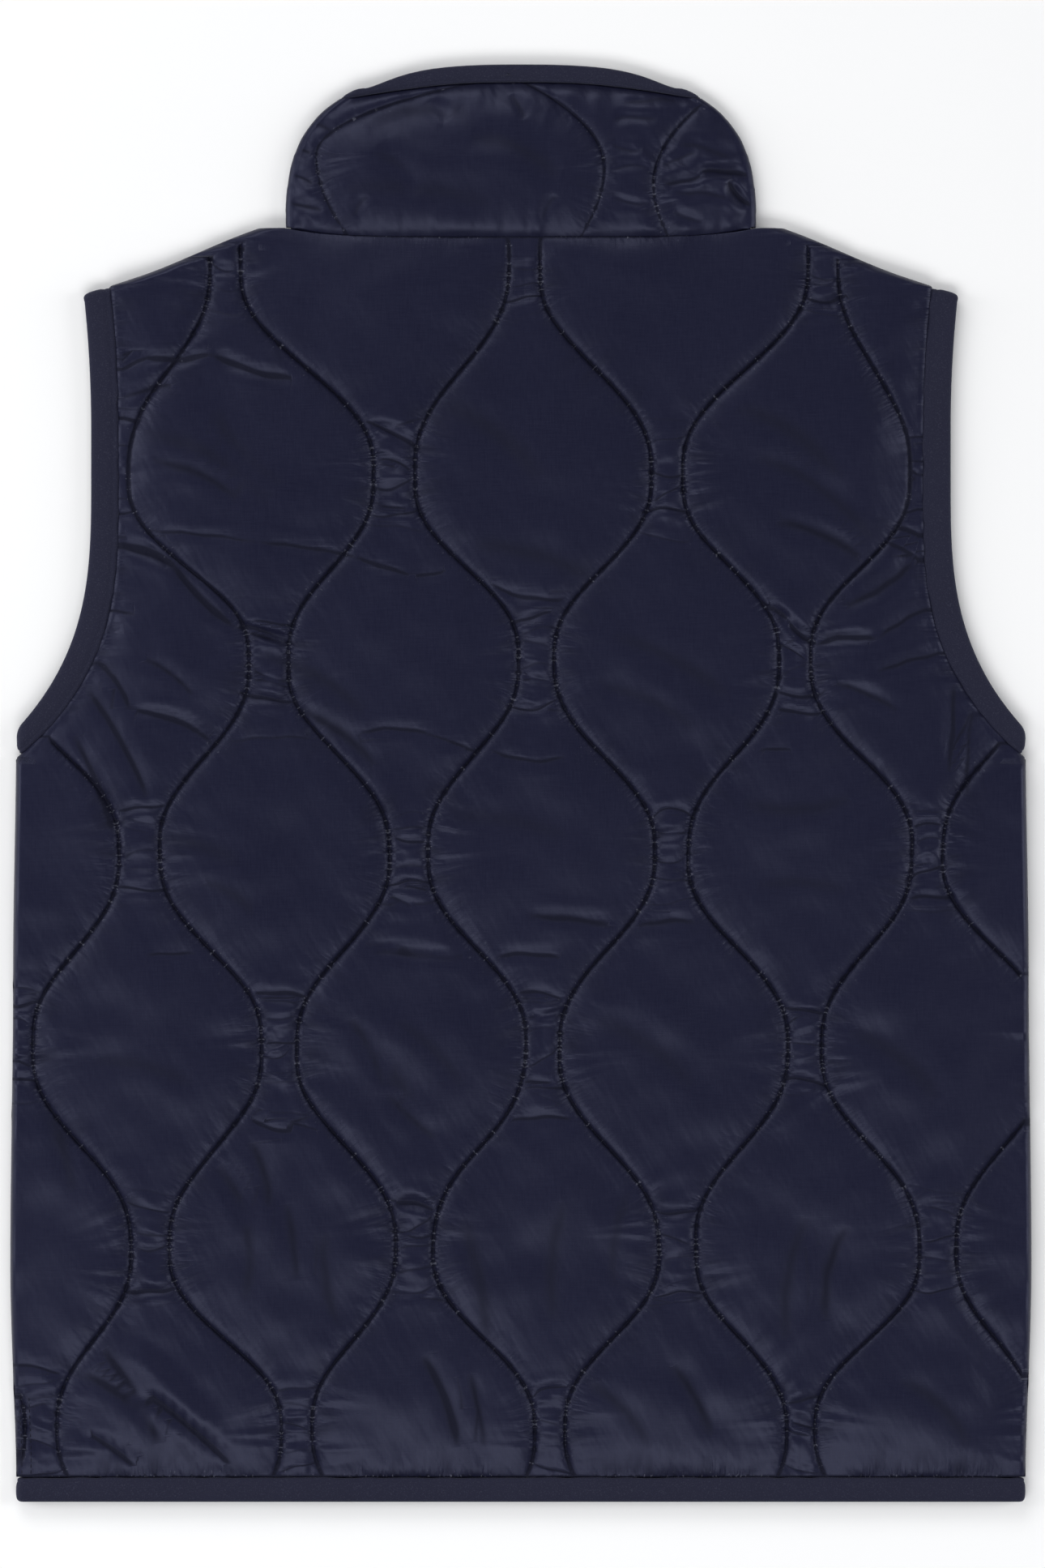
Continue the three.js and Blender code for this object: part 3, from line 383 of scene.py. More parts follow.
def crease(x, y, rows):
    """Soft troughs: across each, exp(-(p / w)^2) less a shoulder on either side, and along it
    a rise from nothing to full depth and back. The line between its ends is a parabola.
    Also gives each point's place above the nearest line, in widths of it, and its depth there."""
    height, sharp, lesser = (np.zeros_like(x) for _ in range(3))
    above = np.full_like(x, 9.0)
    for ax, ay, bx, by, width, depth, bow in rows:
        reach = 4 * width + abs(bow) + 9
        near = ((x > min(ax, bx) - reach) & (x < max(ax, bx) + reach)
                & (y > min(ay, by) - reach) & (y < max(ay, by) + reach))
        length = np.hypot(bx - ax, by - ay)
        tx, ty = (bx - ax) / length, (by - ay) / length
        along = ((x[near] - ax) * tx + (y[near] - ay) * ty) / length
        across = -(x[near] - ax) * ty + (y[near] - ay) * tx - bow * 4 * along * (1 - along)
        across += min(0.3, 0.02 * length) * np.sin(0.45 * x[near] + 0.9 * ax + 0.35 * y[near])
        body = np.clip(1 - (2 * along - 1) ** 4, 0, 1) * ((along > 0) & (along < 1))
        soft = np.hypot(width, MESH_SOFT)
        lips = np.exp(-((np.abs(across) - 1.9 * soft) / (0.9 * soft)) ** 2)
        height[near] -= depth * width / soft * body * (np.exp(-(across / soft) ** 2) - 0.38 * lips)
        line = max(depth, 0) * body * np.exp(-(across / (1.2 * width + 1)) ** 2)
        stronger = line > sharp[near]
        lesser[near] = np.maximum(lesser[near], np.minimum(line, sharp[near]))
        place = np.flatnonzero(near.ravel())[stronger]
        sharp.flat[place] = line[stronger]
        above.flat[place] = np.clip((across if tx > 0 else -across) / width, -9, 9)[stronger]
    return height, (above, sharp * unit(1.6 * (sharp - lesser) / (sharp + 0.01)) ** 1.5)


def neck_creases(seed=900):
    """Short folds across every neck of the quilting: a sharp one at either end, where the
    necks meet the cells, and lesser ones between, uneven in tilt, depth and length."""
    rng = np.random.default_rng(seed)
    rows = []
    for y, middle, pitch, swing, squeeze in QUILT_ROWS[1:-1]:
        for number in range(FIRST_SEAM, LAST_SEAM):
            left, right = QUILT_SEAMS[number - FIRST_SEAM](y), QUILT_SEAMS[number + 1 - FIRST_SEAM](y)
            if right - left > 45:
                continue
            for offset, depth, spread in ((15, 1.5, 2), (-14.5, 1.7, 3), (5, 0.9, 0), (-4, 0.8, 0),
                                          (-9, 0.5, 1), (10, 0.5, 1), (20, 0.5, 6), (-21, 0.5, 6)):
                height = y + offset + rng.normal(0, 2.2)
                tilt, shift = rng.normal(0, 1.8), rng.uniform(-2, 2)
                depth = depth * rng.uniform(0.1, 1.3)
                rows.append((left - spread + shift, height + tilt, right + spread + shift, height - tilt,
                             rng.uniform(0.6, 1.1), depth, rng.normal(0, 1.5)))
    return np.array(rows)


NECK_CREASES = neck_creases()


def slack(x, y, seed):
    """Long soft waves of slack cloth: sums of sines in a few directions, each bent by another."""
    rng = np.random.default_rng(seed)
    height = np.zeros_like(x)
    for wavelength, size in ((58, 0.28), (41, 0.24), (29, 0.2), (19, 0.13)):
        for _ in range(2):
            angle, phase, bend = rng.uniform(0, np.pi), rng.uniform(0, 2 * np.pi), rng.uniform(0.4, 1.2)
            u = x * np.cos(angle) + y * np.sin(angle)
            v = -x * np.sin(angle) + y * np.cos(angle)
            turned = bend * np.sin(2 * np.pi * v / (wavelength * 2.3) + phase * 1.7)
            height += size * 0.7 * np.sin(2 * np.pi * u / wavelength + phase + turned)
    return height


def edge_puckers(along, away, seed):
    """Small arches that stand on an edge seam: uneven waves along it, a bell across it."""
    waves = uneven(along, seed, 3.3) * 0.5 + uneven(along, seed + 1, 6.0) * 0.6
    return waves * bell(away, 2.8)


def back_height(x, y):
    """Top of the back over the floor: the layers' plane, the stitched wall, wadding held down
    at the edge seams, puckers, creases and slack. Also the nearest seam's marks."""
    puffed, fine, nearest, (along, gather) = relief(x, y, QUILT_SEAMS, 100)
    from_hem = y - HEM_SEAM_Y
    from_neck = neck_seam(x) - y
    from_armhole = armhole_distance(x, y)
    edge = np.minimum(np.minimum(from_hem, from_neck), from_armhole)
    held = 1 - np.exp(-np.maximum(edge, 0) / SEAM_PINCH)
    right = 400 * (x > 0)
    gathers = (edge_puckers(x, np.maximum(from_hem, 0), 700)
               + 0.4 * edge_puckers(x, np.maximum(from_neck, 0), 710)
               + edge_puckers(y + right, np.maximum(from_armhole, 0), 720))
    roll = np.exp(-fold_distance(x, y) / 8)
    loose = 1.25 * slack(x, y, 5) * unit(nearest / 9) * held
    for away, place, drawn in ((from_hem, x + 3000, 0.9), (from_neck, x + 4000, 0.2),
                               (from_armhole, y + 5000 + right, 0.9)):
        closer = away < nearest
        fade = unit((np.abs(nearest - away) - 4) / 8)
        gather = np.where(closer, drawn, gather) * fade
        along, nearest = np.where(closer, place, along), np.where(closer, np.maximum(away, 0), nearest)
    folds, folded = crease(x, y, np.vstack([BACK_CREASES, NECK_CREASES]))
    floor = level(x, y) + LAYER_GAP
    height = floor + STITCHED + (puffed + fine + folds) * held + gathers + roll + loose
    return np.maximum(height, floor + LEAST_WALL), (nearest, along, gather, *folded)


# The wall at a point of a lower layer: its upper face, thinned beside the zip
ZIP_HEM_LEVEL, ZIP_LEVEL, TAPE_WIDE = 1.75, 3.9, 15.0
LOWER_GAP = 0.5


def zip_level(y):
    """Height of the tape's underside, eased up from the hem."""
    return ZIP_HEM_LEVEL + (ZIP_LEVEL - ZIP_HEM_LEVEL) * ease(unit((y - HEM_Y) / LEVEL_REACH))


def lower_top(x, y):
    """Upper face of a front or the collar's lower side: under the back's plane, sunk beside the zip."""
    full = level(x, y) - LOWER_GAP
    under_tape = zip_level(y) - SEAM_GAP
    away = ease(unit((np.abs(x) - TAPE_WIDE - 4) / 12))
    return np.minimum(full, under_tape + (np.maximum(full, under_tape) - under_tape) * away)


def fold_round(distance):
    """Rounds an edge that is folded: nothing at the edge, the full wall a radius inside it."""
    return WALL * np.sqrt(unit(1 - (1 - unit(distance / WALL)) ** 2))


def front_underside(x, y, neck_away, zip_away):
    """The fronts' quilting from below: the cells rest on the floor and the seams are
    drawn up into the wadding, as are the cloth's edges."""
    puffed, fine, nearest, marks = relief(-x, y, QUILT_SEAMS, 300)
    drawn = 2.1 * np.exp(-np.abs(nearest) / 2.6) - 0.35 * fine
    from_armhole = armhole_distance(x, y, FRONT_SCOOP)
    edge = np.minimum(np.minimum(y - HEM_SEAM_Y, from_armhole), np.minimum(neck_away, zip_away))
    lifted = 1.3 * np.exp(-np.maximum(edge, 0) / 3.5)
    rolled = WALL - 0.35 - fold_round(fold_distance(x, y))
    folds, folded = crease(-x, y, NECK_CREASES)
    soft = 0.12 * np.abs(slack(x, y, 31)) + 0.3 * np.maximum(-folds, 0)
    return np.maximum(0, np.maximum(drawn + soft, lifted) + rolled), (nearest, *marks, *folded)


# Meshes from grids of points
def weld(points, faces):
    """Joins points that fall together and drops the faces that this flattens."""
    keys = np.round(points * 2000).astype(np.int64)
    _, first, to = np.unique(keys, axis=0, return_index=True, return_inverse=True)
    faces = to.reshape(-1)[faces]
    same = faces == np.roll(faces, -1, axis=1)
    quads = faces[same.sum(1) == 0]
    crossed = (quads[:, 0] == quads[:, 2]) | (quads[:, 1] == quads[:, 3])
    once = same.sum(1) == 1
    triangles = faces[once][~same[once]].reshape(-1, 3)
    flat = ((triangles[:, 0] == triangles[:, 1]) | (triangles[:, 1] == triangles[:, 2])
            | (triangles[:, 2] == triangles[:, 0]))
    return first, quads[~crossed].tolist() + triangles[~flat].tolist()


def grid_faces(rows, columns, loop_rows=False, loop_columns=False):
    """Quads of a grid whose points are stored row by row."""
    r = np.arange(rows if loop_rows else rows - 1)[:, None]
    c = np.arange(columns if loop_columns else columns - 1)[None, :]
    right, down = (c + 1) % columns, (r + 1) % rows
    r, down = r * columns, down * columns
    return np.stack(np.broadcast_arrays(r + c, r + right, down + right, down + c), axis=-1).reshape(-1, 4)


# What a vertex of the quilted cloth knows, and its value away from the quilting. The satin's finish reads
# them for its puckers, its painted shade at seams and folds and its painted glints
MARKS = (("from_seam", 20.0), ("along_seam", 0.0), ("gathered", 0.0), ("above_fold", 9.0),
         ("fold_sharp", 0.0))


def plain_inside(marks):
    """The outer face's marks with blank ones for the inner face beside them."""
    return [np.concatenate([m, np.full_like(m, blank)], axis=1).ravel()
            for m, (_, blank) in zip(marks, MARKS)]


def add_piece(name, grids, finish, nodes, body="vest", marks=None):
    """One mesh from several grids, each (points, faces); its place is in its mesh."""
    start, all_points, all_faces = 0, [], []
    for points, faces in grids:
        flat = points.reshape(-1, 3)
        all_points.append(flat)
        all_faces.append(faces + start)
        start += len(flat)
    points = np.vstack(all_points)
    first, faces = weld(points, np.vstack(all_faces))
    mesh = bpy.data.meshes.new(name)
    mesh.from_pydata((points[first] * MM).tolist(), [], faces)
    mesh.polygons.foreach_set("use_smooth", np.ones(len(mesh.polygons), bool))
    if marks is not None:
        for (label, blank), mark in zip(MARKS, marks):
            values = np.full(len(points), blank)
            values[:len(mark)] = mark
            layer = mesh.attributes.new(label, "FLOAT", "POINT")
            layer.data.foreach_set("value", values[first].astype(np.float32))
    mesh.materials.append(finish)
    mesh.update()
    piece = bpy.data.objects.new(name, mesh)
    bpy.context.scene.collection.objects.link(piece)
    if nodes:
        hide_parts(*nodes)
    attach(piece, body)
    return piece


# Finishes
class Wire:
    """A socket of a finish that arithmetic can be written on."""

    def __init__(self, finish, socket):
        self.finish, self.socket = finish, socket

    def math(self, operation, a, b):
        return self.finish.node("ShaderNodeMath", {"operation": operation}, {0: a, 1: b})

    def __add__(self, other):
        return self.math("ADD", self, other)

    def __radd__(self, other):
        return self.math("ADD", other, self)

    def __sub__(self, other):
        return self.math("SUBTRACT", self, other)

    def __mul__(self, other):
        return self.math("MULTIPLY", self, other)

    def falling(self, rate):
        """e to the power of minus rate times this."""
        return self.math("POWER", 2.718, self * -rate)

    def capped(self, most):
        return self.math("MINIMUM", self, most)


class Finish:
    """A material: a Principled shader and what feeds it."""

    def __init__(self, name, **constants):
        self.material = bpy.data.materials.new(name)
        self.material.use_nodes = True
        self.tree = self.material.node_tree
        self.shader = self.tree.nodes["Principled BSDF"]
        for socket, value in constants.items():
            self.shader.inputs[socket.replace("_", " ")].default_value = value

    def node(self, kind, settings=None, sockets=None, output=0):
        made = self.tree.nodes.new(kind)
        for key, value in (settings or {}).items():
            setattr(made, key, value)
        for key, value in (sockets or {}).items():
            if isinstance(value, Wire):
                self.tree.links.new(value.socket, made.inputs[key])
            else:
                made.inputs[key].default_value = value
        return Wire(self, made.outputs[output])

    def feed(self, **wires):
        for socket, wire in wires.items():
            self.tree.links.new(wire.socket, self.shader.inputs[socket.replace("_", " ")])
        return self.material

    def place(self, scale, turn=0.0):
        """Object coordinates turned about the vertical, then times a scale along each axis."""
        spot = self.node("ShaderNodeTexCoord", output=3)
        turned = self.node("ShaderNodeMapping", {}, {"Vector": spot, "Rotation": (0, 0, turn)})
        return self.node("ShaderNodeMapping", {}, {"Vector": turned, "Scale": scale})

    def noise(self, vector, scale, detail=2.0, roughness=0.5):
        return self.node("ShaderNodeTexNoise", {}, {"Vector": vector, "Scale": scale, "Detail": detail,
                                                    "Roughness": roughness})

    def ramp(self, value, start, end):
        """From 0 where the value is at start to 1 where it is at end, and no further."""
        return self.node("ShaderNodeMapRange", {"clamp": True}, {
            "Value": value, "From Min": start, "From Max": end, "To Min": 0.0, "To Max": 1.0})

    def blend(self, factor, first, second):
        """From the first colour to the second, each a Wire or red, green and blue."""
        first, second = (colour if isinstance(colour, Wire) else (*colour, 1) for colour in (first, second))
        return self.node("ShaderNodeMix", {"data_type": "RGBA"}, {0: factor, 6: first, 7: second}, output=2)

    def bump(self, height, distance, strength=1.0):
        return self.node("ShaderNodeBump", {}, {"Height": height, "Distance": distance, "Strength": strength})


def quilted_satin():
    """Fine plain-weave polyester: navy, glossy, threads that vary a little in both
    directions. Beside the stitching it is puckered: ticks at the stitches and longer waves
    that fade out over a few millimetres, with painted shade in the pinch of the seam, in
    patches among the puckers and along the seam's sides, and pale painted glints near the
    seams. A sharp fold is a narrow valley with painted shade along its bottom. The cloth
    drags in soft slanting streaks."""
    look = Finish("quilted_satin", Specular_IOR_Level=0.26, Specular_Tint=(0.66, 0.70, 1.0, 1))
    warp = look.noise(look.place((2600, 160, 400)), 1.0, 1.0)
    weft = look.noise(look.place((160, 2600, 400)), 1.0, 1.0)
    threads = warp + weft
    cloud = look.noise(look.place((14, 14, 14)), 1.0, 3.0)
    drag = look.noise(look.place((150, 36, 60), turn=-0.5), 1.0, 2.0)
    away, along, gathered, above, sharp = (
        look.node("ShaderNodeAttribute", {"attribute_name": label}, {}, output=2) for label, _ in MARKS)
    lane = lambda x, y, z: look.node("ShaderNodeCombineXYZ", {}, {"X": along * x, "Y": away * y, "Z": z})
    step = look.noise(lane(0.42, 0.07, 0.0), 1.0, 1.0)
    wave = look.noise(lane(0.17, 0.05, 5.0), 1.0, 2.0)
    glint = look.noise(lane(1.1, 0.6, 9.0), 1.0, 1.0)
    # Painted shade in the seam's groove: a ramp across the seam, made jagged by the stitches' steps
    pinch = look.ramp(away + 0.14 + gathered * (0.4 + (step - 0.5) * 5.0), 1.4, 0.75)
    ridge = lambda noise: away.math("ABSOLUTE", noise - 0.5, 0.0)
    pucker = gathered * away * (away.falling(0.7) * ridge(step) * 2.2 + away.falling(0.3) * ridge(wave) * 0.9)
    valley = sharp * (above * above).falling(1.1)
    # Painted shade along the foot of each sharp fold, a little to its lower side
    shade = sharp * ((above + 0.3) * (above + 0.3)).falling(3.2)
    # Painted shade in soft irregular patches among the puckers beside the seams
    soft = look.ramp(wave, 0.52, 0.34) * gathered * away * away.falling(0.3) * 0.34
    # Painted shade fading out over a few millimetres beside every seam
    beside = away.falling(0.55) * (0.12 + gathered * 0.14)
    # All the painted shade together, capped; it also makes the cloth rougher there
    painted_shade = (pinch * 0.88 + shade * 1.3 + soft + beside).capped(0.92)
    # Painted glints: small pale specks near the gathered seams, standing in for highlights on stitches and
    # puckers
    painted_glint = look.ramp(glint + gathered * away.falling(0.9) * 0.16, 0.70, 0.79)
    painted_glint = painted_glint * (away.falling(0.5) * 1.3).capped(0.8)
    ground = look.blend(cloud * 0.9, (0.0063, 0.0067, 0.0198), (0.0080, 0.0084, 0.0234))
    woven = look.blend((threads - 0.6) * 0.35, ground, (0.022, 0.023, 0.046))
    # Base colour: the woven ground, taken towards near-black navy by the painted shade, then towards pale
    # blue-grey by the painted glints
    colour = look.blend(painted_glint, look.blend(painted_shade, woven, (0.0018, 0.0018, 0.0075)), (0.075, 0.078, 0.105))
    roughness = 0.36 + cloud * 0.1 + painted_shade * 0.3
    surface = pucker - valley * 0.24 - threads * 0.02 + drag * (away.falling(0.1) * 0.9 + 0.3)
    return look.feed(Base_Color=colour, Roughness=roughness, Normal=look.bump(surface, 0.001, 0.8))


def heathered_binding():
    """Matt elastic fold-over tape: fine ribs and a fleck of paler yarn."""
    look = Finish("heathered_binding", Specular_IOR_Level=0.2, Sheen_Weight=0.12, Sheen_Roughness=0.5,
                  Sheen_Tint=(0.5, 0.52, 0.7, 1))
    grain = look.noise(look.place((2200, 2200, 2200)), 1.0, 2.0, 0.7)
    ribs = look.noise(look.place((900, 2400, 900)), 1.0, 1.0)
    cloud = look.noise(look.place((60, 60, 60)), 1.0, 2.0)
    ground = look.blend(cloud * 0.8, (0.0100, 0.0107, 0.0262), (0.0138, 0.0147, 0.0330))
    colour = look.blend(look.ramp(grain, 0.56, 0.74) * 0.6, ground, (0.050, 0.052, 0.082))
    raised = look.bump(grain + ribs * 0.6, 0.00012, 0.6)
    return look.feed(Base_Color=colour, Roughness=0.82 + cloud * 0.12, Normal=raised)


def stitching_thread():
    """Twisted polyester thread, a little paler on the turns of its ply."""
    look = Finish("stitching_thread", Specular_IOR_Level=0.15)
    ply = look.noise(look.place((2500, 2500, 2500)), 1.0, 1.0)
    colour = look.blend(ply, (0.0035, 0.0036, 0.0105), (0.0085, 0.0090, 0.0230))
    return look.feed(Base_Color=colour, Roughness=0.5 + ply * 0.2)


def woven_zip_tape():
    """Matt twill tape."""
    look = Finish("woven_zip_tape", Specular_IOR_Level=0.25)
    weave = look.noise(look.place((1400, 2600, 1400)), 1.0, 1.0)
    colour = look.blend(weave, (0.010, 0.010, 0.024), (0.022, 0.022, 0.044))
    return look.feed(Base_Color=colour, Roughness=0.75 + weave * 0.2, Normal=look.bump(weave, 0.00008, 0.5))


def moulded_chain():
    """Moulded plastic, satin, faintly streaked by its flow."""
    look = Finish("moulded_chain", Specular_IOR_Level=0.5)
    flow = look.noise(look.place((900, 900, 900)), 1.0, 2.0)
    colour = look.blend(flow, (0.012, 0.012, 0.026), (0.020, 0.020, 0.038))
    return look.feed(Base_Color=colour, Roughness=0.32 + flow * 0.2)


def lacquered_metal():
    """Dark lacquer on cast metal, worn in patches."""
    look = Finish("lacquered_metal", Metallic=0.6, Coat_Weight=0.2)
    wear = look.noise(look.place((350, 350, 350)), 1.0, 4.0)
    colour = look.blend(wear, (0.020, 0.020, 0.032), (0.045, 0.045, 0.060))
    return look.feed(Base_Color=colour, Roughness=0.28 + wear * 0.2)


SATIN, BINDING, THREAD = quilted_satin(), heathered_binding(), stitching_thread()
ZIP_TAPE, CHAIN_PLASTIC, METAL = woven_zip_tape(), moulded_chain(), lacquered_metal()


# Walls
def shell(outer, inner, loop=False):
    """A closed wall between two grids of points, [column][row]. With loop, the last column
    joins the first. Its faces are turned so that it encloses a positive volume."""
    columns, rows = outer.shape[:2]
    ring = np.concatenate([outer, inner[:, ::-1]], axis=1)
    faces = grid_faces(columns, 2 * rows, loop_rows=loop, loop_columns=True)
    if not loop:
        j = np.arange(rows - 1)
        back = 2 * rows - 1 - j
        for column in (0, columns - 1):
            cap = column * 2 * rows + np.stack([j, j + 1, back - 1, back], axis=1)
            faces = np.vstack([faces, cap if column == 0 else cap[:, ::-1]])
    return outward(ring.reshape(-1, 3), faces)


def outward(points, faces):
    """Turns the faces so that their signed volume is positive."""
    a, b, c, d = (points[faces[:, k]] for k in range(4))
    volume = (a * np.cross(b, c)).sum() + (a * np.cross(c, d)).sum()
    return points, faces if volume > 0 else faces[:, ::-1]


def rim_of(edge, inset, top, end, turns):
    """Points from the face's edge out and down round a quarter ellipse to the rim's end:
    edge is where the rim stands furthest out, inset how far inside it the face stops."""
    turn = (np.pi / 2 * turns)[:, None]
    out = inset[None] * (1 - np.sin(turn))
    return edge[None] + out, end[None] + (top - end)[None] * np.cos(turn)


def join_strip(fine, coarse):
    """Triangles, as quads with a doubled corner, between two lines of point numbers with the
    same ends."""
    to = np.round(np.arange(len(fine)) * (len(coarse) - 1) / (len(fine) - 1)).astype(int)
    a, b, j, k = fine[:-1], fine[1:], coarse[to[:-1]], coarse[to[1:]]
    return np.vstack([np.stack([a, b, j, j], axis=1), np.stack([b, k, j, j], axis=1)])


def spaced(start, end, fine, count):
    """Heights from start to end, closer together over the last few at either end."""
    ramp = fine * 6 * (np.arange(7) / 7) ** 1.3
    return np.concatenate([start + ramp, np.linspace(start + fine * 6, end - fine * 6, count),
                           (end - ramp)[::-1]])


def neck_dense(start, end, count):
    """Heights from start to end, closest at both ends and close where the quilting's necks
    are: the running total of a density with a bump at each quilting row."""
    y = np.linspace(start, end, 4000)
    density = 0.5 + 2.2 * np.exp(-np.minimum(y - start, end - y) / 2.5)
    for row in QUILT_ROWS[1:-1, 0]:
        density += 1.0 * np.exp(-(np.abs(y - row) / 21) ** 6)
    total = np.concatenate([[0], np.cumsum((density[1:] + density[:-1]) / 2)])
    return np.interp(np.linspace(0, total[-1], count), total, y)


def off_seam(width, count):
    """Column places across a strip of the given widths: a few set distances from the seam
    on either side, so that the groove is shaped, and the rest spread over the middle."""
    beside = np.array([0.0, 0.5, 1.1, 2.3])[:4]
    near = beside * np.minimum(1, width / 15)[:, None]
    share = np.linspace(0, 1, count - 2 * len(beside) + 3)[1:-1]
    middle = near[:, -1:] + (width[:, None] - 2 * near[:, -1:]) * share
    return np.concatenate([near, middle, (width[:, None] - near)[:, :0:-1]], axis=1)


RIM_INSET, RIM_STEEPEST, RIM_POINTS = 2.7, 3.4, 7
INSIDE_COLUMNS, END_ROWS = 22, 3


def back_panel():
    """The quilted back. Columns of its face follow the quilting seams and are held between
    the panel's edges, less a rim that rolls down from the face: right round at the folds, and
    half way at the armhole seams. The inside is plain."""
    flat_top = COLLAR_BASE - SEAM_GAP / 2
    rows = neck_dense(HEM_SEAM_Y + SEAM_GAP / 2, flat_top, 380)
    per_strip = 27
    lines = np.stack([seam(rows) for seam in QUILT_SEAMS], axis=1)
    strips = [lines[:, k, None] + off_seam(lines[:, k + 1] - lines[:, k], per_strip)
              for k in range(len(QUILT_SEAMS) - 1)]
    x = np.concatenate(strips + [lines[:, -1:]], axis=1)
    half = panel_half(rows)
    steep = np.minimum(np.sqrt(1 + np.gradient(half, rows) ** 2), RIM_STEEPEST)
    inset = np.minimum(RIM_INSET * steep, 0.45 * half)
    x = np.clip(x, -(half - inset)[:, None], (half - inset)[:, None])
    y = np.broadcast_to(rows[:, None], x.shape)
    z, marks = back_height(x, y)
    folded = (rows < ARMHOLE_SEAM["bottom"] + 2) | (rows > SHOULDER_END_Y - 1)
    turns = np.linspace(0, 1, RIM_POINTS + 1)[1:]
    sides, side_marks = [], []
    for side, column in ((-1, 0), (1, -1)):
        floor = level(side * half, rows) + LAYER_GAP
        end = np.where(folded, floor - 0.55, floor + 0.8)
        rx, rz = rim_of(side * half, -side * inset, z[:, column], end, turns)
        rx, rz = np.vstack([rx, side * half[None]]), np.vstack([rz, np.where(folded, end, floor)[None]])
        rim = spots(rx, rows, rz).transpose(1, 0, 2)
        sides.append(rim[:, ::-1] if side < 0 else rim)
        side_marks.append([np.repeat(m[:, column][:, None], len(rx), axis=1) for m in marks])
    face = np.concatenate([sides[0], spots(x, y, z), sides[1]], axis=1)
    marks = [np.concatenate([side_marks[0][k], m, side_marks[1][k]], axis=1)
             for k, m in enumerate(marks)]
    count, wide = face.shape[:2]
    first, last = face[:1].copy(), face[-1:].copy()
    for row in (first, last):
        row[..., 2] = level(row[..., 0], row[..., 1]) + LAYER_GAP
    face = np.concatenate([first, face, last])
    marks = [np.concatenate([m[:1], m, m[-1:]]).ravel() for m in marks]
    numbers = np.arange(face.shape[0] * wide).reshape(-1, wide)
    kept = slice(END_ROWS, face.shape[0] - END_ROWS)
    left, right = face[kept, 0], face[kept, -1]
    across = np.linspace(0, 1, INSIDE_COLUMNS)[1:-1, None]
    inside = left[:, None] + (right - left)[:, None] * across
    inside[..., 2] = level(inside[..., 0], inside[..., 1]) + LAYER_GAP
    inner = face.shape[0] * wide + np.arange(inside[..., 0].size).reshape(len(inside), -1)
    inner = np.concatenate([numbers[kept, :1], inner, numbers[kept, -1:]], axis=1)
    inner_faces = np.stack([inner[:-1, :-1], inner[1:, :-1], inner[1:, 1:], inner[:-1, 1:]], axis=-1)
    hem_line = np.concatenate([numbers[3:0:-1, 0], numbers[0], numbers[1:4, -1]])
    neck_line = np.concatenate([numbers[-4:-1, 0], numbers[-1], numbers[-2:-5:-1, -1]])
    faces = np.vstack([grid_faces(face.shape[0], wide), inner_faces.reshape(-1, 4),
                       join_strip(hem_line, inner[0])[:, ::-1], join_strip(neck_line, inner[-1])])
    points = np.vstack([face.reshape(-1, 3), inside.reshape(-1, 3)])
    lifted = ease(unit((points[:, 1] - 200) / (flat_top - 200)))
    points[:, 1] += lifted * 3.4 * unit(np.abs(points[:, 0]) / COLLAR_HALF) ** 6
    grid = outward(points, faces)
    return add_piece("back_quilted", [grid], SATIN, ["back_panel"], marks=marks)


def front_panel(side, name, node):
    """One quilted front: rows run from the hem seam up to the neck seam and the shoulder,
    columns from the zip out to the side fold and the armhole."""
    columns, count = ((104, 230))
    u = np.linspace(0, 1, columns)
    u = (u + 0.35 * ease(u)) / 1.35
    u, v = np.broadcast_arrays(u[:, None], spaced(0, 1, 0.0012, count)[None, :])
    x, y = CENTRE_FRONT + 190 * u, HEM_Y + 480 * v
    for _ in range(12):
        neck = arch(FRONT_NECK, unit(x / COLLAR_HALF)) - 0.25
        neck_corner = neck_seam(COLLAR_HALF)
        shoulder = neck_corner - (x - COLLAR_HALF) * (neck_corner - SHOULDER_TIP_Y) / SHOULDER_LONG
        top = np.where(x < COLLAR_HALF, neck, shoulder)
        y = HEM_SEAM_Y + SEAM_GAP / 2 + (top - HEM_SEAM_Y - SEAM_GAP / 2) * v
        x = CENTRE_FRONT + (panel_half(np.minimum(y, SHOULDER_TIP_Y - 0.2), FRONT_SCOOP) - CENTRE_FRONT) * u
    neck_away = np.where(x < COLLAR_HALF + 4, top - y, FAR_OFF)
    z, marks = front_underside(side * x, y, neck_away, x - CENTRE_FRONT)
    upper = np.maximum(lower_top(x, y), z + 0.25)
    wall = shell(spots(side * x, y, z), spots(side * x, y, upper))
    return add_piece(name, [wall], SATIN, [node], marks=plain_inside(marks))


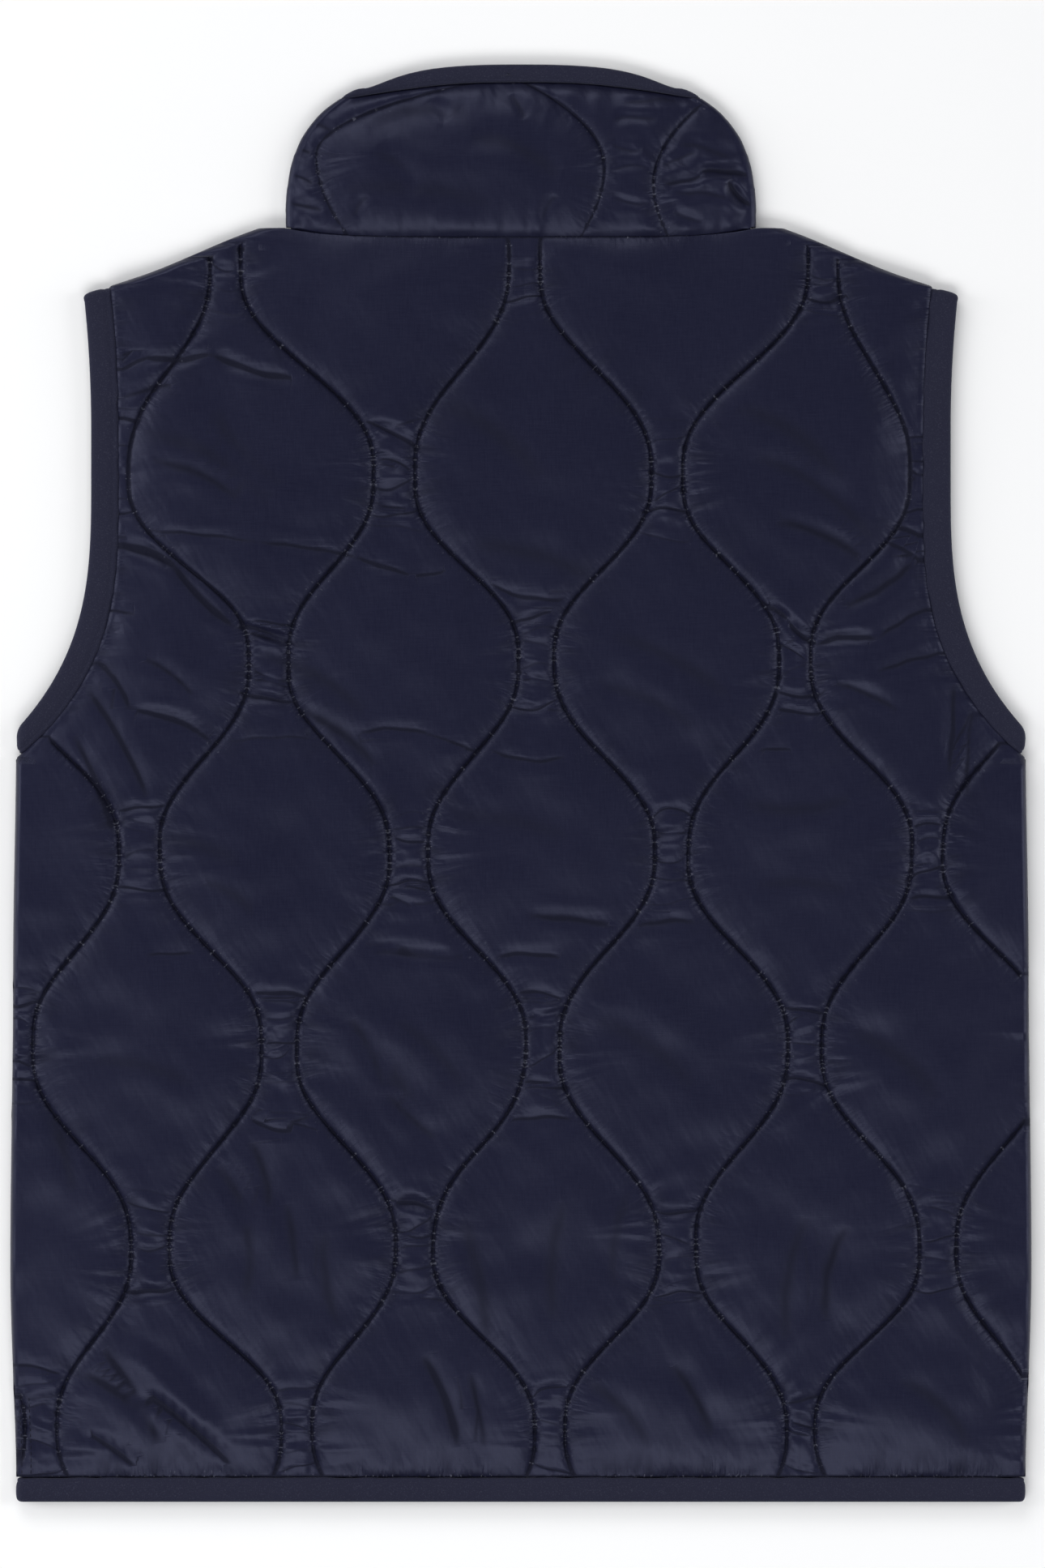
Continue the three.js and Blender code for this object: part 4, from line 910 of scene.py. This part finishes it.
# Collar and bindings run round the folds: a column is on the lower side, swings round a
# fold, or is on the upper side
def collar_plan(kind, side, share, strip, up, on_binding):
    """A point of the collar in plan. Up is 0 at the neck seam and 1 at the binding's seam,
    or, on the binding, 0 at that seam and 1 at its outer edge."""
    x = np.zeros(np.broadcast_shapes(kind.shape, up.shape))
    y = np.full_like(x, COLLAR_BASE)
    lower = kind < 0
    for _ in range(12):
        fold = collar_half(y) - COLLAR_INSET
        places = [-fold] + [np.clip(seam(y), 1.5 - fold, fold - 1.5) for seam in BACK_COLLAR_SEAMS] + [fold]
        places = np.stack(places)
        at = lambda k: np.take_along_axis(places, np.broadcast_to(k, x.shape)[None], axis=0)[0]
        upper_x = at(strip) + (at(strip + 1) - at(strip)) * share
        x = np.where(lower, side * (CENTRE_FRONT + (fold - CENTRE_FRONT) * share),
                     np.where(kind == 0, side * fold, upper_x))
        across = unit(np.abs(x) / fold)
        seam_x = np.where(kind == 0, COLLAR_HALF, np.abs(x))
        base = np.where(lower, arch(FRONT_NECK, unit(seam_x / COLLAR_HALF)) + SEAM_GAP,
                        neck_seam(seam_x) + SEAM_GAP / 2)
        top = np.where(lower, arch(FRONT_TOP, across), arch(BACK_TOP, across))
        rim = collar_top(x)
        edge = np.where(lower, arch(FRONT_EDGE, across), rim + (COLLAR_CAP_Y - rim) * across ** 8)
        gap = np.where(lower, SEAM_GAP * (1 + across ** 4), 0.0)
        target = top + gap + (edge - top - gap) * up if on_binding else base + (top - base) * up
        y = y + 0.7 * (target - y)
    return x, y


def collar_columns(per_lower, per_fold, per_strip):
    """Columns from the centre front round the left fold, across the back and round the right
    fold: kind -1, 0 or 1, side, share or angle, and strip between seams."""
    rows = []
    lower = (1 - np.cos(np.pi * np.linspace(0, 1, per_lower))) / 2
    angles = np.radians(np.linspace(-90, 90, per_fold + 2)[1:-1])
    rows += [(-1, -1, share, 0) for share in lower]
    rows += [(0, -1, angle, 0) for angle in angles]
    for strip in range(len(COLLAR_SEAMS) + 1):
        count = max(6, int(per_strip * (0.2, 1, 0.35, 0.5)[strip]))
        share = np.linspace(0, 1, count, endpoint=False)
        rows += [(1, 1, s, strip) for s in 0.6 * share + 0.4 * (1 - np.cos(np.pi * share)) / 2]
    rows += [(1, 1, 1.0, len(COLLAR_SEAMS))]
    rows += [(0, 1, angle, 0) for angle in angles[::-1]]
    rows += [(-1, 1, share, 0) for share in lower[::-1]]
    kind, side, share, strip = np.array(rows).T
    return kind[:, None].astype(int), side[:, None], share[:, None], strip[:, None].astype(int)


def round_fold(x, y, side, angle, fold_x, thickness):
    """Outer and inner point of a wall that swings round a fold by an angle."""
    middle = level(fold_x, y)
    out, rise = np.cos(angle), np.sin(angle)
    far = LAYER_GAP + thickness
    return (spots(x + side * out * far, y, middle + rise * far),
            spots(x + side * out * LAYER_GAP, y, middle + rise * LAYER_GAP))


def collar_shell():
    """The quilted collar: one wall whose upper side swells over the neck seam."""
    kind, side, share, strip = collar_columns(*(((56, 9, 150))))
    up = spaced(0, 1, 0.008, 74)[None, :] + np.zeros_like(share)
    x, y = collar_plan(kind, side, share, strip, up, False)
    puffed, fine, nearest, (along, gather) = relief(x, y, BACK_COLLAR_SEAMS, 500)
    from_neck, from_top = up * COLLAR_TALL, (1 - up) * COLLAR_TALL
    held = (1 - np.exp(-from_neck / 1.3)) * (1 - np.exp(-from_top / 3.0))
    swell = 1 - np.exp(-from_neck / 9)
    from_fold = np.maximum(0, collar_half(y) - COLLAR_INSET - np.abs(x))
    gathers = 0.8 * (edge_puckers(x, from_neck, 730) + edge_puckers(x, from_top, 740))
    folds, (above, sharp) = crease(x, y, COLLAR_CREASES)
    loose = 0.8 * slack(x, y, 17) * unit(np.abs(nearest) / 7) * held
    inward = 1 - np.exp(-from_fold / 7)
    crown = 0.3 * np.exp(-((up - 0.25) / 0.25) ** 2) * inward
    fine = fine + 0.4 * np.exp(-(nearest / 0.6) ** 2)
    wadding = (puffed + fine) * inward * swell * 0.92 + folds + loose * swell + crown
    upper = 0.5 + (2.4 + wadding) * held + gathers
    fold_puckers = 0.5 * uneven(y, 760, 3.2) + 0.5 * uneven(y, 761, 7.0)
    at_fold = WALL * (0.9 + 0.1 * held) - 0.2 * np.abs(fold_puckers)
    blend = np.exp(-from_fold / 2.5)
    upper = np.maximum(upper * (1 - blend) + at_fold * blend, 0.35)
    sag = np.exp(-from_neck / 2.2) * (up > 0) * inward
    floor = level(x, y)
    outer_up, inner_up = spots(x, y - sag, floor + LAYER_GAP + upper), spots(x, y, floor + LAYER_GAP)
    outer_fold, inner_fold = round_fold(x, y, side, share, side * collar_half(y), at_fold)
    top = lower_top(x, y)
    drawn, _, low_nearest, _ = relief(-x, y - 60, QUILT_SEAMS, 560)
    grooves = 1.6 * np.exp(-np.abs(low_nearest) / 2.4)
    low = np.maximum(0, np.maximum(grooves, 1.2 * (1 - held)) * (kind < 0) * unit(from_fold / 3))
    outer_low, inner_low = spots(x, y, np.minimum(low, top - 0.3)), spots(x, y, top)
    outer = of_side(kind, outer_low, outer_fold, outer_up)
    inner = of_side(kind, inner_low, inner_fold, inner_up)
    nearest = np.where(kind < 0, low_nearest, np.where(kind == 0, 20.0, nearest))
    # The collar's seam and fold marks are weakened here, for fainter puckers, less painted shade and fewer
    # painted glints
    marks = plain_inside((nearest + 0.3, along, gather * 0.7, above, 0.5 * sharp * (kind > 0)))
    wall = shell(outer, inner)
    return add_piece("collar_quilted", [wall], SATIN, ["collar"], marks=marks)


# A fold-over binding's section: place across its width and share of its thickness,
# from the seam over the outer face to the edge, and back along the inner face
SECTION = np.array([
    (0.0, 0.1), (0.0, 0.4), (0.02, 0.62), (0.06, 0.78), (0.11, 0.84), (0.16, 0.8), (0.2, 0.86), (0.28, 0.97),
    (0.4, 1.02), (0.55, 1.04), (0.7, 1.03), (0.82, 0.98), (0.9, 0.89), (0.96, 0.72), (0.99, 0.5), (1.0, 0.25),
    (0.99, 0.08), (0.95, 0.0), (0.6, 0.0), (0.25, 0.0),
])


def swept(point_at, columns, loop):
    """A section carried along a binding. point_at(column, across, depth) gives points; depth
    is 0 on the inner face and 1 on the outer one."""
    points = np.stack([point_at(columns, across, depth) for across, depth in SECTION], axis=1)
    count, around = points.shape[:2]
    faces = grid_faces(count, around, loop_rows=loop, loop_columns=True)
    flat = points.reshape(-1, 3)
    if not loop:
        flat = np.vstack([flat, points[0].mean(0)[None], points[-1].mean(0)[None]])
        k = np.arange(around)
        centre = np.full(around, count * around)
        start = np.stack([k, centre, centre, (k + 1) % around], axis=1)
        last = (count - 1) * around
        end = np.stack([last + k, last + (k + 1) % around, centre + 1, centre + 1], axis=1)
        faces = np.vstack([faces, start, end])
    return outward(flat, faces)


def ripple(place, seed):
    """Slack of an elastic binding along its length, near 1."""
    return 1 + 0.05 * uneven(place, seed, 7) + 0.035 * uneven(place, seed + 1, 2.6)


def on_the_floor(points):
    """The points with none lower than the surface that the vest lies on."""
    return np.maximum(points, (-np.inf, -np.inf, 0))


def collar_binding():
    """The tape on the collar's edge, carried round both folds."""
    columns = collar_columns(*(((50, 11, 120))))
    kind, side, share, strip = (part[:, 0] for part in columns)

    def point_at(_, across, depth):
        up = np.full(len(kind), float(across))
        x, y = collar_plan(kind, side, share, strip, up, True)
        thick = WALL * ripple(x + 300 * kind, 800)
        low = spots(x, y, WALL - WALL * depth + (lower_top(x, y) - WALL) * (1 - depth))
        high = spots(x, y, level(x, y) + LAYER_GAP + thick * depth)
        fold, _ = round_fold(x, y, side, share, side * collar_half(y), np.maximum(thick * depth, 0.01))
        return on_the_floor(of_side(kind, low, fold, high))
    grid = swept(point_at, kind, False)
    return add_piece("collar_edge_binding", [grid], BINDING, ["collar_binding"])


def hem_binding():
    """The tape on the hem: both fronts, round the side folds and across the back."""
    count = 150
    lower, angles = np.linspace(0, 1, count), np.radians(np.linspace(-90, 90, 13)[1:-1])
    rows = [(-1, -1, s) for s in lower] + [(0, -1, a) for a in angles]
    rows += [(1, 1, s) for s in np.linspace(-1, 1, 2 * count)]
    rows += [(0, 1, a) for a in angles[::-1]] + [(-1, 1, s) for s in lower[::-1]]
    kind, side, share = np.array(rows).T

    def point_at(_, across, depth):
        y = np.full(len(kind), HEM_SEAM_Y - SEAM_GAP / 2 + (HEM_Y - HEM_SEAM_Y + SEAM_GAP / 2) * across)
        fold = side_half(y) - WALL - LAYER_GAP
        x = np.where(kind < 0, side * (CENTRE_FRONT + (fold - CENTRE_FRONT) * share),
                     np.where(kind == 0, side * fold, share * fold))
        thick = WALL * ripple(x + 500 * kind, 810)
        floor = level(x, y)
        y = y + np.where(kind > 0, 0.22 * uneven(x, 815, 6) * (across < 0.1), 0)
        low = spots(x, y, (floor - LAYER_GAP) * (1 - depth))
        high = spots(x, y, floor + LAYER_GAP + thick * depth)
        turned, _ = round_fold(x, y, side, share, side * side_half(y), np.maximum(thick * depth, 0.01))
        return on_the_floor(of_side(kind, low, turned, high))
    grid = swept(point_at, kind, False)
    return add_piece("hem_edge_binding", [grid], BINDING, ["hem_binding"])


# How far the armhole's binding swings out round the folds, and the heights of its seam and edge
SHOULDER_TURN, UNDERARM_SEAM_TURN, UNDERARM_OUTER_TURN = (0.9, 2.85), (3.0, -2.6), (3.1, -3.4)
ARMHOLE_SEAM_RUN, ARMHOLE_EDGE_RUN = (193.4, 13.2), (190.2, 24.6)


def armhole_binding(turned, name, node):
    """A closed loop round the armhole: its seam and its outer edge each have their own run
    of heights, and it swings round the shoulder and the underarm fold."""
    count = 130
    t = np.linspace(0, 1, count) ** 0.9
    angles = np.radians(np.linspace(-90, 90, 11)[1:-1])
    rows = [(-1, s, 0) for s in t] + [(0, 1, a) for a in angles]
    rows += [(1, s, 0) for s in t[::-1]] + [(0, 0, a) for a in angles[::-1]]
    kind, t, angle = np.array(rows).T

    def point_at(_, across, depth):
        scoop = np.where(kind < 0, FRONT_SCOOP, 0)
        seam_y, outer_y = (top + (bottom - top) * t for top, bottom in (ARMHOLE_SEAM_RUN, ARMHOLE_EDGE_RUN))
        seam_x = armhole_half(seam_y, ARMHOLE_SEAM, scoop) + np.where(kind < 0, SEAM_GAP, SEAM_GAP / 2)
        outer_x = armhole_half(outer_y, ARMHOLE_OUTER, scoop)
        x, y = seam_x + (outer_x - seam_x) * across, seam_y + (outer_y - seam_y) * across
        thick = WALL * ripple(y * 1.3 + 500 * kind, 820 + 5 * (turned > 0))
        floor = level(x, y)
        x = x + np.where(kind > 0, 0.2 * uneven(y, 830, 6) * (across < 0.1), 0)
        x = x - np.where(kind >= 0, 0.9 * (1 - across) ** 4, 0)
        low = spots(x, y, (floor - LAYER_GAP) * (1 - depth))
        high = spots(x, y, floor + LAYER_GAP + thick * depth)
        seam_turn, outer_turn = np.array(UNDERARM_SEAM_TURN), np.array(UNDERARM_OUTER_TURN)
        turn = np.where((t < 0.5)[:, None], SHOULDER_TURN, seam_turn + (outer_turn - seam_turn) * across)
        far = LAYER_GAP + thick * np.maximum(depth, 0.8 * (across < 0.25) * (t < 0.5))
        out = np.cos(angle) * far / 3
        swing = spots(x + turn[:, 0] * out, y + turn[:, 1] * out, floor + np.sin(angle) * far)
        return on_the_floor(of_side(kind, low, swing, high)) * (turned, 1, 1)
    return add_piece(name, [swept(point_at, kind, True)], BINDING, [node])


# Zip
TAPE = {"bottom": -273.6, "top": 221.6, "edge": 2.3, "thick": 0.8}
CHAIN_BOTTOM, CHAIN_TOP, CHAIN_LIFT = -271.5, 214.2, 0.4
TOOTH_PITCH = 2.7


def zip_side(side, name, node):
    """A tape with two woven ridges, a cord along its edge, and teeth moulded round the cord,
    set half a pitch over from the other side's."""
    across = np.linspace(0, 1, 20)
    ys = np.linspace(TAPE["bottom"], TAPE["top"], 200)
    x, y = np.broadcast_arrays((TAPE["edge"] + (TAPE_WIDE - TAPE["edge"]) * across)[:, None], ys[None, :])
    ridge = 0.12 * (np.exp(-((x - 5.2) / 0.5) ** 2) + np.exp(-((x - 12.6) / 0.5) ** 2))
    low = zip_level(y) + 0.14 - ridge
    high = zip_level(y) + TAPE["thick"] - 0.1 + 0 * x
    tape = shell(spots(side * x, y, low), spots(side * x, y, high))
    turn = np.linspace(0, 2 * np.pi, 9, endpoint=False)[:, None]
    cord = spots(side * (2.35 + 0.5 * np.cos(turn)), ys, zip_level(ys) + CHAIN_LIFT + 0.55 * np.sin(turn))
    cord_faces = grid_faces(9, len(ys), loop_rows=True)
    corners = np.array([(0.15, -0.34), (0.15, 0.34), (0.75, 0.62), (1.5, 0.42), (2.6, 0.42), (2.6, -0.42),
                        (1.5, -0.42), (0.75, -0.62)])
    start = 0.0 if side < 0 else TOOTH_PITCH / 2
    places = np.arange(CHAIN_BOTTOM + 1 + start, CHAIN_TOP - 1, TOOTH_PITCH)
    heights = np.array([(-0.75, 0.8), (-0.6, 1.0), (0.6, 1.0), (0.75, 0.8)])
    teeth = np.zeros((len(places), 4, 8, 3))
    teeth[..., 0] = side * (corners[:, 0] - 1.3)[None, None, :] * heights[:, 1][None, :, None] + side * 1.3
    teeth[..., 1] = places[:, None, None] + corners[:, 1] * heights[:, 1][:, None]
    teeth[..., 2] = zip_level(places)[:, None, None] + CHAIN_LIFT + heights[:, 0][None, :, None]
    ring = grid_faces(4, 8, loop_columns=True)
    caps = np.array([(0, 1, 2, 7), (7, 2, 3, 6), (6, 3, 4, 5)])
    one = np.vstack([ring[:, ::-1], caps, (caps + 24)[:, ::-1]])
    if side > 0:
        one = one[:, ::-1]
    tooth_faces = (one[None] + (np.arange(len(places)) * 32)[:, None, None]).reshape(-1, 4)
    piece = add_piece(name, [tape, outward(cord.reshape(-1, 3), cord_faces)], ZIP_TAPE, [node])
    teeth_name = name.replace("tape", "teeth")
    return piece, add_piece(teeth_name, [(teeth.reshape(-1, 3), tooth_faces)], CHAIN_PLASTIC, [])


def stitch_row(seam, y_from, y_to, inside, height, lift=0.12):
    """Stitches along a seam, one pitch apart by its length: each is a small spindle with
    pointed ends, its sections being ellipses whose size follows a sine."""
    ys = np.linspace(y_from, y_to, 4000)
    xs = seam(ys)
    run = np.concatenate([[0], np.cumsum(np.hypot(np.diff(xs), np.diff(ys)))])
    at = np.arange(STITCH_PITCH / 2, run[-1], STITCH_PITCH)
    y = np.interp(at, run, ys)
    x = np.interp(at, run, xs)
    tx, ty = np.interp(at + 0.4, run, xs) - x, np.interp(at + 0.4, run, ys) - y
    length = np.maximum(np.hypot(tx, ty), 1e-6)
    keep = inside(x, y) & (length > 0.1)
    x, y, tx, ty = x[keep], y[keep], (tx / length)[keep], (ty / length)[keep]
    z = height(x, y) + lift
    along = np.array([-1, -0.62, 0, 0.62, 1.0])
    size = np.array([0.12, 0.8, 1, 0.8, 0.12])
    turn = np.linspace(0, 2 * np.pi, 6, endpoint=False)
    a = (along * STITCH_LONG / 2)[:, None]
    side = size[:, None] * np.cos(turn) * STITCH_WIDE / 2
    up = size[:, None] * np.sin(turn) * STITCH_WIDE / 2 - 0.12 * (along ** 2)[:, None]
    x, y, z, tx, ty = (values[:, None, None] for values in (x, y, z, tx, ty))
    return spots(x + a * tx - side * ty, y + a * ty + side * tx, z + up)


def spindle_faces(count):
    """Faces of so many spindles of five rings of six points, closed at both ends."""
    ring = grid_faces(5, 6, loop_columns=True)[:, ::-1]
    ends = np.array([(0, 1, 2, 3), (0, 3, 4, 5), (27, 26, 25, 24), (29, 28, 27, 24)])
    one = np.vstack([ring, ends[:, ::-1]])
    return (one[None] + (np.arange(count) * 30)[:, None, None]).reshape(-1, 4)


def stitches(name, rows):
    """All the stitches of some seams as one mesh."""
    points = np.concatenate([row.reshape(-1, 30, 3) for row in rows])
    add_piece(name, [(points, spindle_faces(len(points)))], THREAD, [])


back = back_panel()
fronts = [front_panel(-1, "front_quilted_left", "front_left"),
          front_panel(1, "front_quilted_right", "front_right")]
collar = collar_shell()
collar_edge = collar_binding()
hem_edge = hem_binding()
armholes = [armhole_binding(-1, "armhole_edge_binding_left", "armhole_binding_left"),
            armhole_binding(1, "armhole_edge_binding_right", "armhole_binding_right")]
zip_pieces = [zip_side(-1, "zip_tape_woven_left", "zip_tape_left"),
              zip_side(1, "zip_tape_woven_right", "zip_tape_right")]
for node in ("zip_box", "zip_slider", "zip_pull"):
    hardware = bpy.data.objects[node]
    for material_slot in hardware.material_slots:
        material_slot.link = "OBJECT"
        material_slot.material = METAL

inside_back = lambda x, y: (
    (np.abs(x) < panel_half(y) - 1.5) & (y < neck_seam(x) - 0.5) & (y > HEM_SEAM_Y + 0.5))
hem_tacks = [lambda y, x=x: x + 0.4 * np.sin(y / 9) for x in (-197.6, -193.9)]
back_top = lambda x, y: back_height(x, y)[0]
stitches("back_stitches", [
    stitch_row(seam, HEM_SEAM_Y, 219, inside_back, back_top) for seam in QUILT_SEAMS])
stitches("hem_corner_stitches", [
    stitch_row(tack, HEM_SEAM_Y + 1, -243, inside_back, back_top) for tack in hem_tacks])

# Camera: straight above, framed as the photograph
VIEW_TALL = 619.2
VIEW_X, VIEW_Y = 0.64, -0.32
CAMERA_UP = 3.0
LENS_UP = 0.006      # the middle height of the cloth that it is framed on
SENSOR = 36
camera_data = bpy.data.cameras.new("camera")
camera_data.sensor_fit = "VERTICAL"
camera_data.sensor_height = SENSOR
camera_data.lens = SENSOR * CAMERA_UP / (VIEW_TALL * MM)
camera_data.clip_end = 20
camera = bpy.data.objects.new("camera", camera_data)
camera.location = (VIEW_X * MM, VIEW_Y * MM, CAMERA_UP + LENS_UP)
bpy.context.scene.collection.objects.link(camera)
bpy.context.scene.camera = camera


# Floor and light
def floor():
    """A plain pale floor, just under the vest."""
    look = Finish("pale_floor", Specular_IOR_Level=0.1, Roughness=0.9)
    tone = look.noise(look.place((3, 3, 3)), 1.0)
    look.feed(Base_Color=look.blend(tone, (0.93, 0.93, 0.935), (0.95, 0.95, 0.95)))
    mesh = bpy.data.meshes.new("floor")
    half, under = 4.0, -0.0003
    corners = [(-half, -half, under), (half, -half, under), (half, half, under), (-half, half, under)]
    mesh.from_pydata(corners, [], [(0, 1, 2, 3)])
    mesh.materials.append(look.material)
    plane = bpy.data.objects.new("floor", mesh)
    bpy.context.scene.collection.objects.link(plane)


def softbox(name, place, size, watts, aim_y=0.0):
    """A rectangular light that faces a point of the vest's middle line."""
    data = bpy.data.lights.new(name, "AREA")
    data.shape = "RECTANGLE"
    data.size, data.size_y = size
    data.energy = watts
    lamp = bpy.data.objects.new(name, data)
    lamp.location = place
    lamp.rotation_euler = (Vector((0, aim_y, 0)) - Vector(place)).to_track_quat("-Z", "Y").to_euler()
    bpy.context.scene.collection.objects.link(lamp)


floor()
softbox("box_left", (-2.0, 0.3, 0.75), (0.8, 2.0), 25)
softbox("box_right", (2.0, 0.1, 0.75), (0.8, 2.0), 24)
softbox("box_collar", (-0.6, 1.7, 1.2), (1.8, 0.8), 19, 0.1)
softbox("box_hem", (-0.3, -1.3, 1.7), (2.4, 0.9), 28, -0.05)

world = bpy.data.worlds.new("studio")
world.use_nodes = True
sky = world.node_tree.nodes["Background"].inputs
sky[0].default_value, sky[1].default_value = (0.9, 0.93, 1.0, 1), 0.14
bpy.context.scene.world = world
bpy.context.scene.view_settings.view_transform = "Standard"
